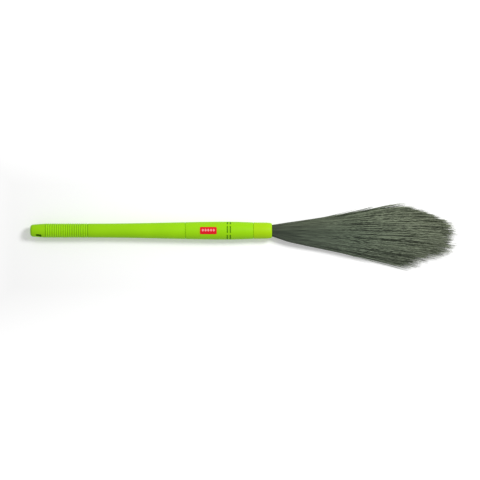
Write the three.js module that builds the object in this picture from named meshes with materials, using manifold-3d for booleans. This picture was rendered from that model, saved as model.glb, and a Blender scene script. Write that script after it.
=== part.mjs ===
// A hand broom: a hollow moulded handle of five pieces that plug into each other, and a fan of fine bristles
// whose roots are bound, fused and held in a cup inside the socket.
//
// Millimetres, Z up. The broom lies on the floor along X, with its butt at -X and its bristle tips at +X.
// Each piece is made in the handle's own frame, where Y runs along the handle from the butt, Z is up and
// X points to the front, the side on which the fan spreads furthest. One turned group lays it all along X.
import * as THREE from "three";
import { mergeVertices } from "three/addons/utils/BufferGeometryUtils.js";
import Module from "manifold-3d";

const wasm = await Module();
wasm.setup();

// Driving dimensions along the handle
const CAP_LENGTH = 35.2;
const RIB_COUNT = 19;
const RIB_PITCH = 5.2;
const GRIP_LAND = 1;
const TUBE_LENGTH = 229;
const SOCKET_LENGTH = 160;
const COLLAR_LENGTH = 44;
const BRISTLE_LENGTH = 434;

// Driving radii of the handle's outside
const BUTT_FACE_RADIUS = 5;
const CAP_RADIUS = 16.4;
const RIB_RADIUS = 17;
const RIB_DEPTH = 1.4;
const RIB_SLOPE_SHARE = 0.3;
const TUBE_START_RADIUS = 16.4;
const TUBE_SWELL_RADIUS = 17.4;
const TUBE_END_RADIUS = 19.7;
const BELLY_RADIUS = 21;
const COLLAR_RADIUS = 19.3;
const LIP_RADIUS = 15.4;

// Places of the curves along the handle
const BUTT_ROUND = 7;
const CAP_TAPER = 2.2;
const TUBE_STRAIGHT_SHARE = 0.35;
const TUBE_SWELL_SHARE = 0.5;
const SOCKET_RISE = 48;
const BELLY_INSET = 69;
const NARROWING_INSET = 32;
const COLLAR_TAPER = 0.2;
const LIP_LENGTH = 20;

// Fits between the pieces
const GAP = 0.3;
const SEAM_CHAMFER = 0.8;
const WALL = 2.4;
const THIN_WALL = 1.7;
const BORE_TAPER = 3;
const SPIGOT_SLACK = 1;
const CAP_PLUG_LENGTH = 13;
const GRIP_SPIGOT_LENGTH = 22;
const SOCKET_SPIGOT_LENGTH = 26;
const COLLAR_SPIGOT_LENGTH = 24;
const SOCKET_SHOULDER = 10;
const COLLAR_LEAD_IN = 1.2;
const COLLAR_LEAD_LENGTH = 6;

// Hanging slot through both walls of the end cap
const HANG_SLOT_LENGTH = 14;
const HANG_SLOT_WIDTH = 9;
const HANG_SLOT_CORNER = 3;
const HANG_SLOT_MIDDLE = 20;
const HANG_SLOT_TURN = THREE.MathUtils.degToRad(52);

// Two rings of snap windows round the socket, which the lugs of the root cup click into
const WINDOWS_PER_RING = 6;
const WINDOW_ANGLE = THREE.MathUtils.degToRad(47);
const WINDOW_WIDTH = 3;
const WINDOW_FIRST_TURN = THREE.MathUtils.degToRad(-8);
const WINDOW_RING_INSETS = [54, 61];
const LUG_HEIGHT = 0.8;
const CUT_OVERLAP = 1;

// The bundle of bristles inside the socket
const SOCKET_BORE = 17.2;
const COLLAR_BORE = 14.7;
const CUP_LENGTH = 34;
const CUP_FLOOR = 3;
const CUP_CHAMFER = 1.5;
const CUP_LEAD = 20;
const ROOT_LENGTH = 12;
const BUNDLE_RADIUS = 13.4;
const ROOT_RADIUS = 14.4;
const LAYER_SLACK = 0.2;
const WIRE_DIAMETER = 1.5;
const WIRE_SIDES = 6;
const WIRE_TURNS = 3;
const WIRE_PITCH = 2.1;
const WIRE_STEPS_PER_TURN = 24;

// The fan of bristles, as it lies spread on the floor
const STRAND_COUNT = 376;
const STRAND_SIDES = 3;
const STRAND_SINK = 3;
const STRAND_STATIONS = [
  { out: 0, radius: 0.38 },
  { out: 115, radius: 0.62 },
  { out: 240, radius: 0.62 },
];
const OUTERMOST_STRAND = 0.995;
const LAYER_CUTS = { bottom: [-1.2, -0.4], lower: [-0.4, 0], upper: [0, 0.4], top: [0.4, 1.2] };
const FRONT_SPREAD = { slope: 0.242, curl: 0.0002 };
const BACK_SPREAD = { slope: 0.172, curl: 0.0007 };
const SWEEP = 0.00014;
const TURN_START = 250;
const SIDE_LENGTH = 304;
const RAGGED_SHARE = 0.06;
const DROOP_LENGTH = 250;
const CROWN_HEIGHT = 40;
const CROWN_FALL = 0.35;
const EDGE_HEIGHT = 3.4;
const FLOOR_CLEARANCE = 0.35;

// Stations worked out from the lengths
const CAP_END = CAP_LENGTH;
const GRIP_END = CAP_END + RIB_COUNT * RIB_PITCH + GRIP_LAND;
const TUBE_END = GRIP_END + TUBE_LENGTH;
const SOCKET_END = TUBE_END + SOCKET_LENGTH;
const MOUTH = SOCKET_END + COLLAR_LENGTH;
const CUP_START = SOCKET_END - WINDOW_RING_INSETS[1] - CUP_LEAD;
const CUP_END = CUP_START + CUP_LENGTH;
const ROOT_FACE = CUP_START + CUP_FLOOR + GAP + ROOT_LENGTH;
const AXIS_HEIGHT = BELLY_RADIUS;

const STRAND_ROOT_RADIUS = STRAND_STATIONS[0].radius;

const SIDES = 28;
const CURVE_STEPS = 5;
const CORNER_STEPS = 2;
const MERGE_DISTANCE = 1e-4;
const GAP_STEP = 12;
const UP = Math.PI / 2;

const limePlastic = new THREE.MeshStandardMaterial({ color: 0x9ad61c, roughness: 0.42, metalness: 0 });
const cupPlastic = new THREE.MeshStandardMaterial({ color: 0x81b80c, roughness: 0.5, metalness: 0 });
const fibre = new THREE.MeshStandardMaterial({ color: 0x565e50, roughness: 0.6, metalness: 0 });
const galvanisedWire = new THREE.MeshStandardMaterial({ color: 0xa7abad, roughness: 0.35, metalness: 1 });

// A closed geometry as a solid: only its places are kept, and its shared corners are merged.
function solidOf(geometry) {
  const bare = geometry.clone();
  bare.deleteAttribute("normal");
  bare.deleteAttribute("uv");
  const merged = mergeVertices(bare, MERGE_DISTANCE);
  return new wasm.Manifold(
    new wasm.Mesh({
      numProp: 3,
      vertProperties: merged.attributes.position.array,
      triVerts: new Uint32Array(merged.index.array),
    }),
  );
}

function geometryOf(solid) {
  const { vertProperties, triVerts } = solid.getMesh();
  return new THREE.BufferGeometry()
    .setAttribute("position", new THREE.BufferAttribute(vertProperties, 3))
    .setIndex(new THREE.BufferAttribute(triVerts, 1));
}

// A profile of radius and distance along the handle, turned round the handle's axis.
function revolve(profile) {
  return new THREE.LatheGeometry(profile.getPoints(CURVE_STEPS), SIDES);
}

// A shape in the plane across the handle, given a length along it that ends at a station.
function prismAcross(shape, length, end) {
  return new THREE.ExtrudeGeometry(shape, { depth: length, bevelEnabled: false, curveSegments: CURVE_STEPS })
    .rotateX(UP)
    .translate(0, end, 0);
}

// One stretch of a ring, between two radii, whose middle is turned from the top towards the front.
function ringStretch(inner, outer, angle, turn) {
  const middle = UP - turn;
  const shape = new THREE.Shape();
  shape.absarc(0, 0, outer, middle - angle / 2, middle + angle / 2, false);
  shape.absarc(0, 0, inner, middle + angle / 2, middle - angle / 2, true);
  return shape;
}

// The stretches of both rings of windows, made to a given size round their common middles.
function windowStretches(inner, outer, angle, width) {
  return WINDOW_RING_INSETS.flatMap((inset) =>
    Array.from({ length: WINDOWS_PER_RING }, (_, i) => {
      const turn = WINDOW_FIRST_TURN + (i * 2 * Math.PI) / WINDOWS_PER_RING;
      return prismAcross(ringStretch(inner, outer, angle, turn), width, SOCKET_END - inset + width / 2);
    }),
  );
}

// End cap: a tapered thimble with a domed butt, flat in its middle, a plug for the grip's bore and a slot to
// hang it by.
function endCap() {
  const edge = CAP_RADIUS - CAP_TAPER;
  const hollow = CAP_RADIUS - WALL;
  const plug = RIB_RADIUS - RIB_DEPTH - THIN_WALL - GAP;
  const plugEnd = CAP_END + CAP_PLUG_LENGTH;
  const profile = new THREE.Path();
  profile.moveTo(0, 0);
  profile.lineTo(BUTT_FACE_RADIUS, 0);
  profile.quadraticCurveTo(edge, 0, edge, BUTT_ROUND);
  profile.lineTo(CAP_RADIUS, CAP_END - SEAM_CHAMFER);
  profile.lineTo(CAP_RADIUS - SEAM_CHAMFER, CAP_END);
  profile.lineTo(plug, CAP_END);
  profile.lineTo(plug, plugEnd - SEAM_CHAMFER);
  profile.lineTo(plug - SEAM_CHAMFER, plugEnd);
  profile.lineTo(plug - THIN_WALL, plugEnd);
  profile.lineTo(plug - THIN_WALL, CAP_END);
  profile.lineTo(hollow, CAP_END - BORE_TAPER);
  profile.lineTo(edge - WALL, BUTT_ROUND + WALL);
  profile.quadraticCurveTo(edge - WALL, WALL, BUTT_FACE_RADIUS, WALL);
  profile.lineTo(0, WALL);

  const side = HANG_SLOT_WIDTH / 2 - HANG_SLOT_CORNER;
  const end = HANG_SLOT_LENGTH / 2 - HANG_SLOT_CORNER;
  const outline = new THREE.Shape();
  [[side, end], [-side, end], [-side, -end], [side, -end]].forEach(([x, y], corner) => {
    outline.absarc(x, y, HANG_SLOT_CORNER, corner * UP, (corner + 1) * UP, false);
  });
  const through = 3 * CAP_RADIUS;
  const straight = { depth: through, bevelEnabled: false, curveSegments: CORNER_STEPS };
  const slot = new THREE.ExtrudeGeometry(outline, straight)
    .translate(0, HANG_SLOT_MIDDLE, -through / 2)
    .rotateY(HANG_SLOT_TURN);
  return geometryOf(solidOf(revolve(profile)).subtract(solidOf(slot)));
}

// Grip: a ribbed tube, with a spigot that plugs into the handle tube.
function grip() {
  const start = CAP_END + GAP;
  const valley = RIB_RADIUS - RIB_DEPTH;
  const bore = valley - THIN_WALL;
  const spigot = TUBE_START_RADIUS - WALL - GAP;
  const spigotEnd = GRIP_END + GRIP_SPIGOT_LENGTH;
  const slope = RIB_SLOPE_SHARE * RIB_PITCH;
  const profile = new THREE.Path();
  profile.moveTo(bore, start);
  profile.lineTo(valley, start);
  for (let i = 0; i < RIB_COUNT; i++) {
    const rib = start + i * RIB_PITCH;
    profile.lineTo(RIB_RADIUS, rib + slope);
    profile.lineTo(RIB_RADIUS, rib + RIB_PITCH - slope);
    profile.lineTo(valley, rib + RIB_PITCH);
  }
  profile.lineTo(valley, GRIP_END);
  profile.lineTo(spigot, GRIP_END);
  profile.lineTo(spigot, spigotEnd - SEAM_CHAMFER);
  profile.lineTo(spigot - SEAM_CHAMFER, spigotEnd);
  profile.lineTo(spigot - WALL, spigotEnd);
  profile.lineTo(spigot - WALL, GRIP_END);
  profile.lineTo(bore, GRIP_END - BORE_TAPER);
  profile.lineTo(bore, start);
  return revolve(profile);
}

// Handle tube: an even wall that swells towards the socket.
function handleTube() {
  const start = GRIP_END + GAP;
  const straightEnd = start + TUBE_STRAIGHT_SHARE * TUBE_LENGTH;
  const swellStart = start + TUBE_SWELL_SHARE * TUBE_LENGTH;
  const profile = new THREE.Path();
  profile.moveTo(TUBE_START_RADIUS - WALL, start);
  profile.lineTo(TUBE_START_RADIUS - SEAM_CHAMFER, start);
  profile.lineTo(TUBE_START_RADIUS, start + SEAM_CHAMFER);
  profile.bezierCurveTo(
    TUBE_START_RADIUS, straightEnd,
    TUBE_SWELL_RADIUS, swellStart,
    TUBE_END_RADIUS, TUBE_END - SEAM_CHAMFER,
  );
  profile.lineTo(TUBE_END_RADIUS - SEAM_CHAMFER, TUBE_END);
  profile.lineTo(TUBE_END_RADIUS - WALL, TUBE_END);
  profile.lineTo(TUBE_END_RADIUS - WALL, TUBE_END - SOCKET_SPIGOT_LENGTH - SPIGOT_SLACK);
  profile.bezierCurveTo(
    TUBE_SWELL_RADIUS - WALL, swellStart,
    TUBE_START_RADIUS - WALL, straightEnd,
    TUBE_START_RADIUS - WALL, start,
  );
  return revolve(profile);
}

// Socket: a barrel with a spigot for the handle tube, and the windows cut through its wall.
function socket() {
  const start = TUBE_END + GAP;
  const spigot = TUBE_END_RADIUS - WALL - GAP;
  const spigotStart = TUBE_END - SOCKET_SPIGOT_LENGTH;
  const shoulder = start + SOCKET_SHOULDER;
  const belly = SOCKET_END - BELLY_INSET;
  const narrowing = SOCKET_END - NARROWING_INSET;
  const profile = new THREE.Path();
  profile.moveTo(spigot - WALL, spigotStart);
  profile.lineTo(spigot - SEAM_CHAMFER, spigotStart);
  profile.lineTo(spigot, spigotStart + SEAM_CHAMFER);
  profile.lineTo(spigot, start);
  profile.lineTo(TUBE_END_RADIUS - SEAM_CHAMFER, start);
  profile.lineTo(TUBE_END_RADIUS, start + SEAM_CHAMFER);
  profile.quadraticCurveTo(BELLY_RADIUS, start + SOCKET_RISE, BELLY_RADIUS, belly);
  profile.quadraticCurveTo(BELLY_RADIUS, narrowing, COLLAR_RADIUS, SOCKET_END - SEAM_CHAMFER);
  profile.lineTo(COLLAR_RADIUS - SEAM_CHAMFER, SOCKET_END);
  profile.lineTo(SOCKET_BORE, SOCKET_END);
  profile.lineTo(SOCKET_BORE, CUP_START - SPIGOT_SLACK);
  profile.lineTo(spigot, shoulder);
  profile.lineTo(spigot - WALL, shoulder - BORE_TAPER);
  profile.lineTo(spigot - WALL, spigotStart);
  const inner = SOCKET_BORE - CUT_OVERLAP;
  const outer = BELLY_RADIUS + CUT_OVERLAP;
  const windows = windowStretches(inner, outer, WINDOW_ANGLE, WINDOW_WIDTH);
  const cut = (barrel, window) => barrel.subtract(solidOf(window));
  return geometryOf(windows.reduce(cut, solidOf(revolve(profile))));
}

// Collar: a ring with a round lip that gathers the bristles, and a spigot that plugs into the socket.
function collar() {
  const start = SOCKET_END + GAP;
  const spigot = SOCKET_BORE - GAP;
  const spigotStart = SOCKET_END - COLLAR_SPIGOT_LENGTH;
  const neck = COLLAR_RADIUS - COLLAR_TAPER;
  const leadIn = COLLAR_BORE + COLLAR_LEAD_IN;
  const profile = new THREE.Path();
  profile.moveTo(leadIn, spigotStart);
  profile.lineTo(spigot - SEAM_CHAMFER, spigotStart);
  profile.lineTo(spigot, spigotStart + SEAM_CHAMFER);
  profile.lineTo(spigot, start);
  profile.lineTo(COLLAR_RADIUS - SEAM_CHAMFER, start);
  profile.lineTo(COLLAR_RADIUS, start + SEAM_CHAMFER);
  profile.lineTo(neck, MOUTH - LIP_LENGTH);
  profile.quadraticCurveTo(neck, MOUTH, LIP_RADIUS, MOUTH);
  profile.lineTo(COLLAR_BORE, MOUTH - (LIP_RADIUS - COLLAR_BORE));
  profile.lineTo(COLLAR_BORE, spigotStart + COLLAR_LEAD_LENGTH);
  profile.lineTo(leadIn, spigotStart);
  return revolve(profile);
}

// Root cup: holds the fused roots, and clicks into the socket's windows with its lugs.
function rootCup() {
  const outside = SOCKET_BORE - GAP;
  const inside = ROOT_RADIUS + GAP;
  const profile = new THREE.Path();
  profile.moveTo(0, CUP_START);
  profile.lineTo(outside - CUP_CHAMFER, CUP_START);
  profile.lineTo(outside, CUP_START + CUP_CHAMFER);
  profile.lineTo(outside, CUP_END);
  profile.lineTo(inside + SEAM_CHAMFER, CUP_END);
  profile.lineTo(inside, CUP_END - SEAM_CHAMFER);
  profile.lineTo(inside, CUP_START + CUP_FLOOR);
  profile.lineTo(0, CUP_START + CUP_FLOOR);
  const lugAngle = WINDOW_ANGLE - (2 * GAP) / SOCKET_BORE;
  const lugWidth = WINDOW_WIDTH - 2 * GAP;
  const lugs = windowStretches(outside - CUT_OVERLAP, outside + LUG_HEIGHT, lugAngle, lugWidth);
  return geometryOf(lugs.reduce((cup, lug) => cup.add(solidOf(lug)), solidOf(revolve(profile))));
}

// Binding wire: turns of wire drawn round the bundle just past the cup.
class Winding extends THREE.Curve {
  getPoint(share, target = new THREE.Vector3()) {
    const angle = share * WIRE_TURNS * 2 * Math.PI;
    const radius = BUNDLE_RADIUS + STRAND_ROOT_RADIUS + GAP + WIRE_DIAMETER / 2;
    const along = CUP_END + WIRE_DIAMETER + share * WIRE_TURNS * WIRE_PITCH;
    return target.set(radius * Math.sin(angle), along, radius * Math.cos(angle));
  }
}

function bindingWire() {
  const steps = WIRE_TURNS * WIRE_STEPS_PER_TURN;
  const route = new Winding();
  const section = new THREE.Shape().absarc(0, 0, WIRE_DIAMETER / 2, 0, 2 * Math.PI, false);
  console.log("least gap between the wire's turns", leastWireGap(route.getPoints(steps)).toFixed(2), "mm");
  const sweep = { steps, extrudePath: route, curveSegments: WIRE_SIDES / 2, bevelEnabled: false };
  return new THREE.ExtrudeGeometry(section, sweep);
}

// The least gap from the wire to itself, between points that are at least half a turn apart.
function leastWireGap(points) {
  const apart = WIRE_STEPS_PER_TURN / 2;
  const gapsFrom = (point, i) => points.slice(i + apart).map((other) => point.distanceTo(other));
  return Math.min(...points.flatMap(gapsFrom)) - WIRE_DIAMETER;
}

// The place of a strand past the mouth: u and v are its place in the round bundle, from -1 to 1, towards the
// front and the top. The bundle opens to both sides and its ends sweep to the front, its underside settles
// flat on the floor and its upper side becomes a crown, so that two strands that start apart never meet.
function fanPlace(u, v, out) {
  const { lerp, smoothstep } = THREE.MathUtils;
  const spread = u > 0 ? FRONT_SPREAD : BACK_SPREAD;
  const turned = Math.max(0, out - TURN_START) ** 2;
  const halfWidth = BUNDLE_RADIUS + spread.slope * out - spread.curl * turned;
  const chord = Math.sqrt(1 - u * u);
  const settled = smoothstep(out, 0, DROOP_LENGTH);
  const crown = CROWN_HEIGHT * (1 - CROWN_FALL * (out / BRISTLE_LENGTH) ** 2);
  const under = lerp(-BUNDLE_RADIUS * chord, FLOOR_CLEARANCE - AXIS_HEIGHT, settled);
  const over = lerp(BUNDLE_RADIUS * chord, EDGE_HEIGHT - AXIS_HEIGHT + crown * chord, settled);
  const height = lerp(under, over, (v / chord + 1) / 2);
  return new THREE.Vector3(u * halfWidth + SWEEP * turned, MOUTH + out, height);
}

// The strands' places in the bundle, spread evenly in a spiral, each with its own length: strands at the
// sides of the fan are shorter than those in its middle, and all are cut a little ragged.
function strands() {
  const goldenAngle = Math.PI * (3 - Math.sqrt(5));
  const golden = (Math.sqrt(5) - 1) / 2;
  return Array.from({ length: STRAND_COUNT }, (_, i) => {
    const radius = OUTERMOST_STRAND * Math.sqrt((i + 0.5) / STRAND_COUNT);
    const u = radius * Math.cos(i * goldenAngle);
    const v = radius * Math.sin(i * goldenAngle);
    const full = THREE.MathUtils.lerp(SIDE_LENGTH, BRISTLE_LENGTH, Math.cos((u * Math.PI) / 2));
    const length = full * (1 - RAGGED_SHARE * ((i * golden) % 1));
    return { u, v, length };
  });
}

// One strand: a thin prism from inside the fused root to the mouth, along the fan, to a point at the tip.
function strandGeometry({ u, v, length }) {
  const root = new THREE.Vector3(u * BUNDLE_RADIUS, ROOT_FACE - STRAND_SINK, v * BUNDLE_RADIUS);
  const places = [root, ...STRAND_STATIONS.map(({ out }) => fanPlace(u, v, out))];
  const radii = [STRAND_ROOT_RADIUS, ...STRAND_STATIONS.map(({ radius }) => radius)];
  const corners = places.flatMap((place, ring) => {
    const radius = radii[ring];
    return Array.from({ length: STRAND_SIDES }, (_, side) => {
      const angle = (side * 2 * Math.PI) / STRAND_SIDES;
      return [place.x + radius * Math.sin(angle), place.y, place.z + radius * Math.cos(angle)];
    });
  });
  corners.push(fanPlace(u, v, length).toArray());
  const tip = corners.length - 1;
  const faces = [[2, 1, 0]];
  for (let side = 0; side < STRAND_SIDES; side++) {
    const next = (side + 1) % STRAND_SIDES;
    for (let ring = 0; ring < places.length - 1; ring++) {
      const low = ring * STRAND_SIDES;
      const high = low + STRAND_SIDES;
      faces.push([low + side, low + next, high + next], [low + side, high + next, high + side]);
    }
    const last = (places.length - 1) * STRAND_SIDES;
    faces.push([last + side, last + next, tip]);
  }
  return new THREE.BufferGeometry()
    .setAttribute("position", new THREE.Float32BufferAttribute(corners.flat(), 3))
    .setIndex(faces.flat());
}

// Where a strand's straight stretches lie at a distance out from the mouth, with its half thickness there.
function strandAt({ u, v, length }, out) {
  const stops = [...STRAND_STATIONS, { out: length, radius: 0 }];
  const next = Math.max(1, stops.findIndex((stop) => stop.out >= out));
  const [from, to] = [stops[next - 1], stops[next]];
  const share = (out - from.out) / (to.out - from.out);
  const place = fanPlace(u, v, from.out).lerp(fanPlace(u, v, to.out), share);
  return { place, radius: THREE.MathUtils.lerp(from.radius, to.radius, share) };
}

// The least gap between any two strands, measured across the fan at even distances out from the mouth.
function leastStrandGap(all) {
  let least = Infinity;
  for (let out = 0; out < BRISTLE_LENGTH; out += GAP_STEP) {
    const cut = all.filter(({ length }) => length > out).map((strand) => strandAt(strand, out));
    cut.forEach((one, i) => {
      for (let j = 0; j < i; j++) {
        least = Math.min(least, one.place.distanceTo(cut[j].place) - one.radius - cut[j].radius);
      }
    });
  }
  return least;
}

// The flat layer of the round root between two heights, and the strands that stand clear inside it.
function rootLayer([low, high]) {
  const height = (level) => THREE.MathUtils.clamp(level * BUNDLE_RADIUS, -ROOT_RADIUS, ROOT_RADIUS);
  const under = height(low) + LAYER_SLACK;
  const over = height(high) - LAYER_SLACK;
  const lowAngle = Math.asin(under / ROOT_RADIUS);
  const highAngle = Math.asin(over / ROOT_RADIUS);
  const shape = new THREE.Shape();
  shape.absarc(0, 0, ROOT_RADIUS, lowAngle, highAngle, false);
  shape.absarc(0, 0, ROOT_RADIUS, Math.PI - highAngle, Math.PI - lowAngle, false);
  const clear = ({ v }) =>
    v * BUNDLE_RADIUS > under + STRAND_ROOT_RADIUS && v * BUNDLE_RADIUS < over - STRAND_ROOT_RADIUS;
  return { shape, strands: strands().filter(clear) };
}

// A layer of the bundle: its slice of the fused root with its strands standing on it.
function bristleLayer({ shape, strands }) {
  const root = solidOf(prismAcross(shape, ROOT_LENGTH, ROOT_FACE));
  return geometryOf(strands.reduce((bundle, strand) => bundle.add(solidOf(strandGeometry(strand))), root));
}

function piece(name, geometry, material) {
  const mesh = new THREE.Mesh(geometry, material);
  mesh.name = name;
  return mesh;
}

const handle = new THREE.Group();
handle.add(
  piece("end_cap", endCap(), limePlastic),
  piece("grip", grip(), limePlastic),
  piece("handle_tube", handleTube(), limePlastic),
  piece("socket", socket(), limePlastic),
  piece("collar", collar(), limePlastic),
);

const head = new THREE.Group();
head.add(piece("root_cup", rootCup(), cupPlastic), piece("binding_wire", bindingWire(), galvanisedWire));
const layers = Object.entries(LAYER_CUTS).map(([place, cuts]) => ({ place, ...rootLayer(cuts) }));
layers.forEach((layer) => head.add(piece("bristles_" + layer.place, bristleLayer(layer), fibre)));
const standing = layers.flatMap((layer) => layer.strands);
console.log(standing.length, "strands, least gap between them", leastStrandGap(standing).toFixed(2), "mm");

// The broom is laid along X with its axis one belly radius above the floor, over the middle of its own box.
const broom = new THREE.Group();
const lying = new THREE.Group();
lying.rotation.z = -UP;
lying.add(handle, head);
broom.add(lying);
const middle = new THREE.Box3().setFromObject(broom, true).getCenter(new THREE.Vector3());
lying.position.set(-middle.x, -middle.y, AXIS_HEIGHT);

export default broom;
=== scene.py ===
# %% [markdown]
# # A hand broom
# A CAD model holds the broom's pieces at their real size and in their real places. This script dresses
# them: smooth moulded plastic for the handle, a printed film for the label and thousands of fine fibres for
# the fan. The cells run from top to bottom. Before each step a few sentences say what the piece is on the
# real broom, how it could be made in Blender, and why it is made this way here.

# %% Load the fixed frame
import math

import bmesh
import bpy
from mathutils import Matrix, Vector


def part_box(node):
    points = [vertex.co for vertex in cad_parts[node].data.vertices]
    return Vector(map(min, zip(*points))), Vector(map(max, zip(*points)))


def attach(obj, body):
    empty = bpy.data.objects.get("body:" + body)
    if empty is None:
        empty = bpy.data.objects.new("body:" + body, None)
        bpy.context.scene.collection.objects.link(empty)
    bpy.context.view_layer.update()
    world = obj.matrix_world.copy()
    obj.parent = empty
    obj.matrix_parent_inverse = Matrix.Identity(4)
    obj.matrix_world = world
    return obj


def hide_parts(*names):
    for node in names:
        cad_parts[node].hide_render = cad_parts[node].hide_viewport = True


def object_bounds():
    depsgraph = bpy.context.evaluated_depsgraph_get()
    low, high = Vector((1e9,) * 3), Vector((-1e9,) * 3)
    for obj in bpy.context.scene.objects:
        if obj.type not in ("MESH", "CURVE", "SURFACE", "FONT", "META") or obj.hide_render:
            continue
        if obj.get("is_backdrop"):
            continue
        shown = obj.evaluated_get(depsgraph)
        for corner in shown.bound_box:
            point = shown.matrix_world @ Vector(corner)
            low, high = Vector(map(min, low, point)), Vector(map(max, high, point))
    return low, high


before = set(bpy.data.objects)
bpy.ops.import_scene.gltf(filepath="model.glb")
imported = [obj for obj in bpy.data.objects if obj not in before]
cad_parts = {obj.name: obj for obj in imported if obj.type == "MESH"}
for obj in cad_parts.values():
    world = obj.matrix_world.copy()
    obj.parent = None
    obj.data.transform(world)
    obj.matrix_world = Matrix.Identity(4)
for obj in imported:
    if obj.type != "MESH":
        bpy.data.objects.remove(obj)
CAD_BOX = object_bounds()
print("CAD nodes:", ", ".join(sorted(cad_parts)))

# %% [markdown]
# ## Where the pieces are
# A broom handle is a body of revolution, so two numbers place any point of its outline: how far along the
# axis it is and how far from the axis. Everything on the handle is written that way, in millimetres from the
# butt, as on a maker's drawing. The axis and the seams come from the boxes of the CAD nodes, so a seam that
# moves in the CAD model moves here too.

# %% The handle's axis and seams
MM = 0.001
SEAM_GAP = 0.3
cap_low, cap_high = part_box("end_cap")
BUTT_X = cap_low.x
AXIS_Y = (cap_low.y + cap_high.y) / 2
AXIS_Z = (cap_low.z + cap_high.z) / 2


def along(x):
    """Millimetres from the butt to a place on the frame's X axis."""
    return (x - BUTT_X) / MM


def widest(node):
    """A round node's greatest radius in millimetres."""
    low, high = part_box(node)
    return (high.z - low.z) / 2 / MM


GRIP_START = along(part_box("grip")[0].x)
TUBE_START = along(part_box("handle_tube")[0].x)
TUBE_END = along(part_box("handle_tube")[1].x)
SOCKET_START = TUBE_END + SEAM_GAP
SOCKET_END = along(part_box("socket")[1].x)
COLLAR_START = SOCKET_END + SEAM_GAP
MOUTH = along(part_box("collar")[1].x)
CAP_END = GRIP_START - SEAM_GAP
GRIP_END = TUBE_START - SEAM_GAP
print("seams, mm from the butt:", [round(s, 1) for s in (CAP_END, GRIP_END, TUBE_END, SOCKET_END, MOUTH)])

# %% [markdown]
# ## Camera
# The broom was photographed from straight above. A new camera looks down -Z with +Y up in the picture, which
# is just this view, so it needs no turn. A long lens from far away keeps the perspective weak, as in a
# catalogue picture. The lens follows from the width of floor that the picture shows. The camera's numbers
# and the lamp's are in metres.

# %% Camera
CAMERA_DISTANCE = 9.0
VIEW_WIDTH = 1.128
VIEW_MIDDLE = (-0.0062, -0.0102)

camera = bpy.data.objects.new("camera", bpy.data.cameras.new("camera"))
camera.location = (*VIEW_MIDDLE, AXIS_Z + CAMERA_DISTANCE)
camera.data.lens = camera.data.sensor_width * CAMERA_DISTANCE / VIEW_WIDTH
bpy.context.scene.collection.objects.link(camera)
bpy.context.scene.camera = camera
print("lens", round(camera.data.lens, 1), "mm")

# %% [markdown]
# ## Nodes
# Materials and Geometry Nodes are both trees of nodes. One function adds a node to either: its settings are
# the node's own properties, and each input is a plain value, another node, or one output of another node.
# Inputs go by name or by number. In a Map Range node, 1 and 2 are the limits of the number that comes in, and
# 3 and 4 are what they become. In a Mix node, 0 is the share of the second of two inputs, which are 2 and 3
# for numbers, 4 and 5 for vectors, and 6 and 7 for colours.

# %% One function for every node
SOCKET_KINDS = {
    float: "NodeSocketFloat",
    int: "NodeSocketInt",
    bpy.types.Material: "NodeSocketMaterial",
}


def add(tree, kind, inputs=None, **settings):
    """Adds a node with its settings and links. A node given as an input stands for its first output."""
    node = tree.nodes.new(kind)
    for name, value in settings.items():
        setattr(node, name, value)
    for socket, value in (inputs or {}).items():
        if isinstance(value, bpy.types.Node):
            value = next(output for output in value.outputs if output.enabled)
        if isinstance(value, bpy.types.NodeSocket):
            tree.links.new(value, node.inputs[socket])
        else:
            node.inputs[socket].default_value = value
    return node


def colour(code):
    """The linear colour of an sRGB hex code such as #9ACD32."""
    shares = [int(code[i : i + 2], 16) / 255 for i in (1, 3, 5)]
    linear = [s / 12.92 if s <= 0.04045 else ((s + 0.055) / 1.055) ** 2.4 for s in shares]
    return (*linear, 1.0)


def new_material(name):
    """A material with an empty tree."""
    material = bpy.data.materials.new(name)
    material.use_nodes = True
    material.node_tree.nodes.clear()
    return material, material.node_tree


def finished(material, looks):
    """Closes a material's tree: its looks make one surface, which goes out."""
    tree = material.node_tree
    surface = add(tree, "ShaderNodeBsdfPrincipled", looks)
    add(tree, "ShaderNodeOutputMaterial", {"Surface": surface})
    return material


def new_tree(name, values):
    """A Geometry Nodes tree with a named input for each value, and its group input node."""
    tree = bpy.data.node_groups.new(name, "GeometryNodeTree")
    tree.interface.new_socket("Geometry", in_out="INPUT", socket_type="NodeSocketGeometry")
    for label, value in values.items():
        tree.interface.new_socket(label, in_out="INPUT", socket_type=SOCKET_KINDS[type(value)])
    tree.interface.new_socket("Geometry", in_out="OUTPUT", socket_type="NodeSocketGeometry")
    return tree, add(tree, "NodeGroupInput")


def end_tree(tree, given, geometry):
    """Closes a tree: instances become real, the material is set, and the result goes out."""
    real = add(tree, "GeometryNodeRealizeInstances", {"Geometry": geometry})
    paint = {"Geometry": real, "Material": given.outputs["Material"]}
    add(tree, "NodeGroupOutput", {"Geometry": add(tree, "GeometryNodeSetMaterial", paint)})


# %% [markdown]
# ## Floor and light
# The picture shows a white floor, a soft band of shadow just below the broom, and no hard highlight: one wide
# lamp up on the right, leaning towards the top of the picture, in a bright room. The room is the world's even
# light. The floor is pale paper that keeps the shadow. Where the camera looks straight at it, a little glow
# lifts it to white, more so away from the broom, and that glow puts no light on the broom.

# %% Floor, lamp and room
FLOOR_SIZE = 12.0
FLOOR_DROP = 0.0001
GLOW_ENDS = 0.42
GLOW_NEAR = 0.12
GLOW_FAR = 0.5
GLOW_LEVELS = {3: 0.22, 4: 0.6}
LAMP_PLACE = Vector((0.7, 0.65, 1.5))
LAMP_AIM = Vector((0.1, 0.0, 0.0))
LAMP_SIZE = 0.5
LAMP_WATTS = 21.0
ROOM_STRENGTH = 0.45


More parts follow.
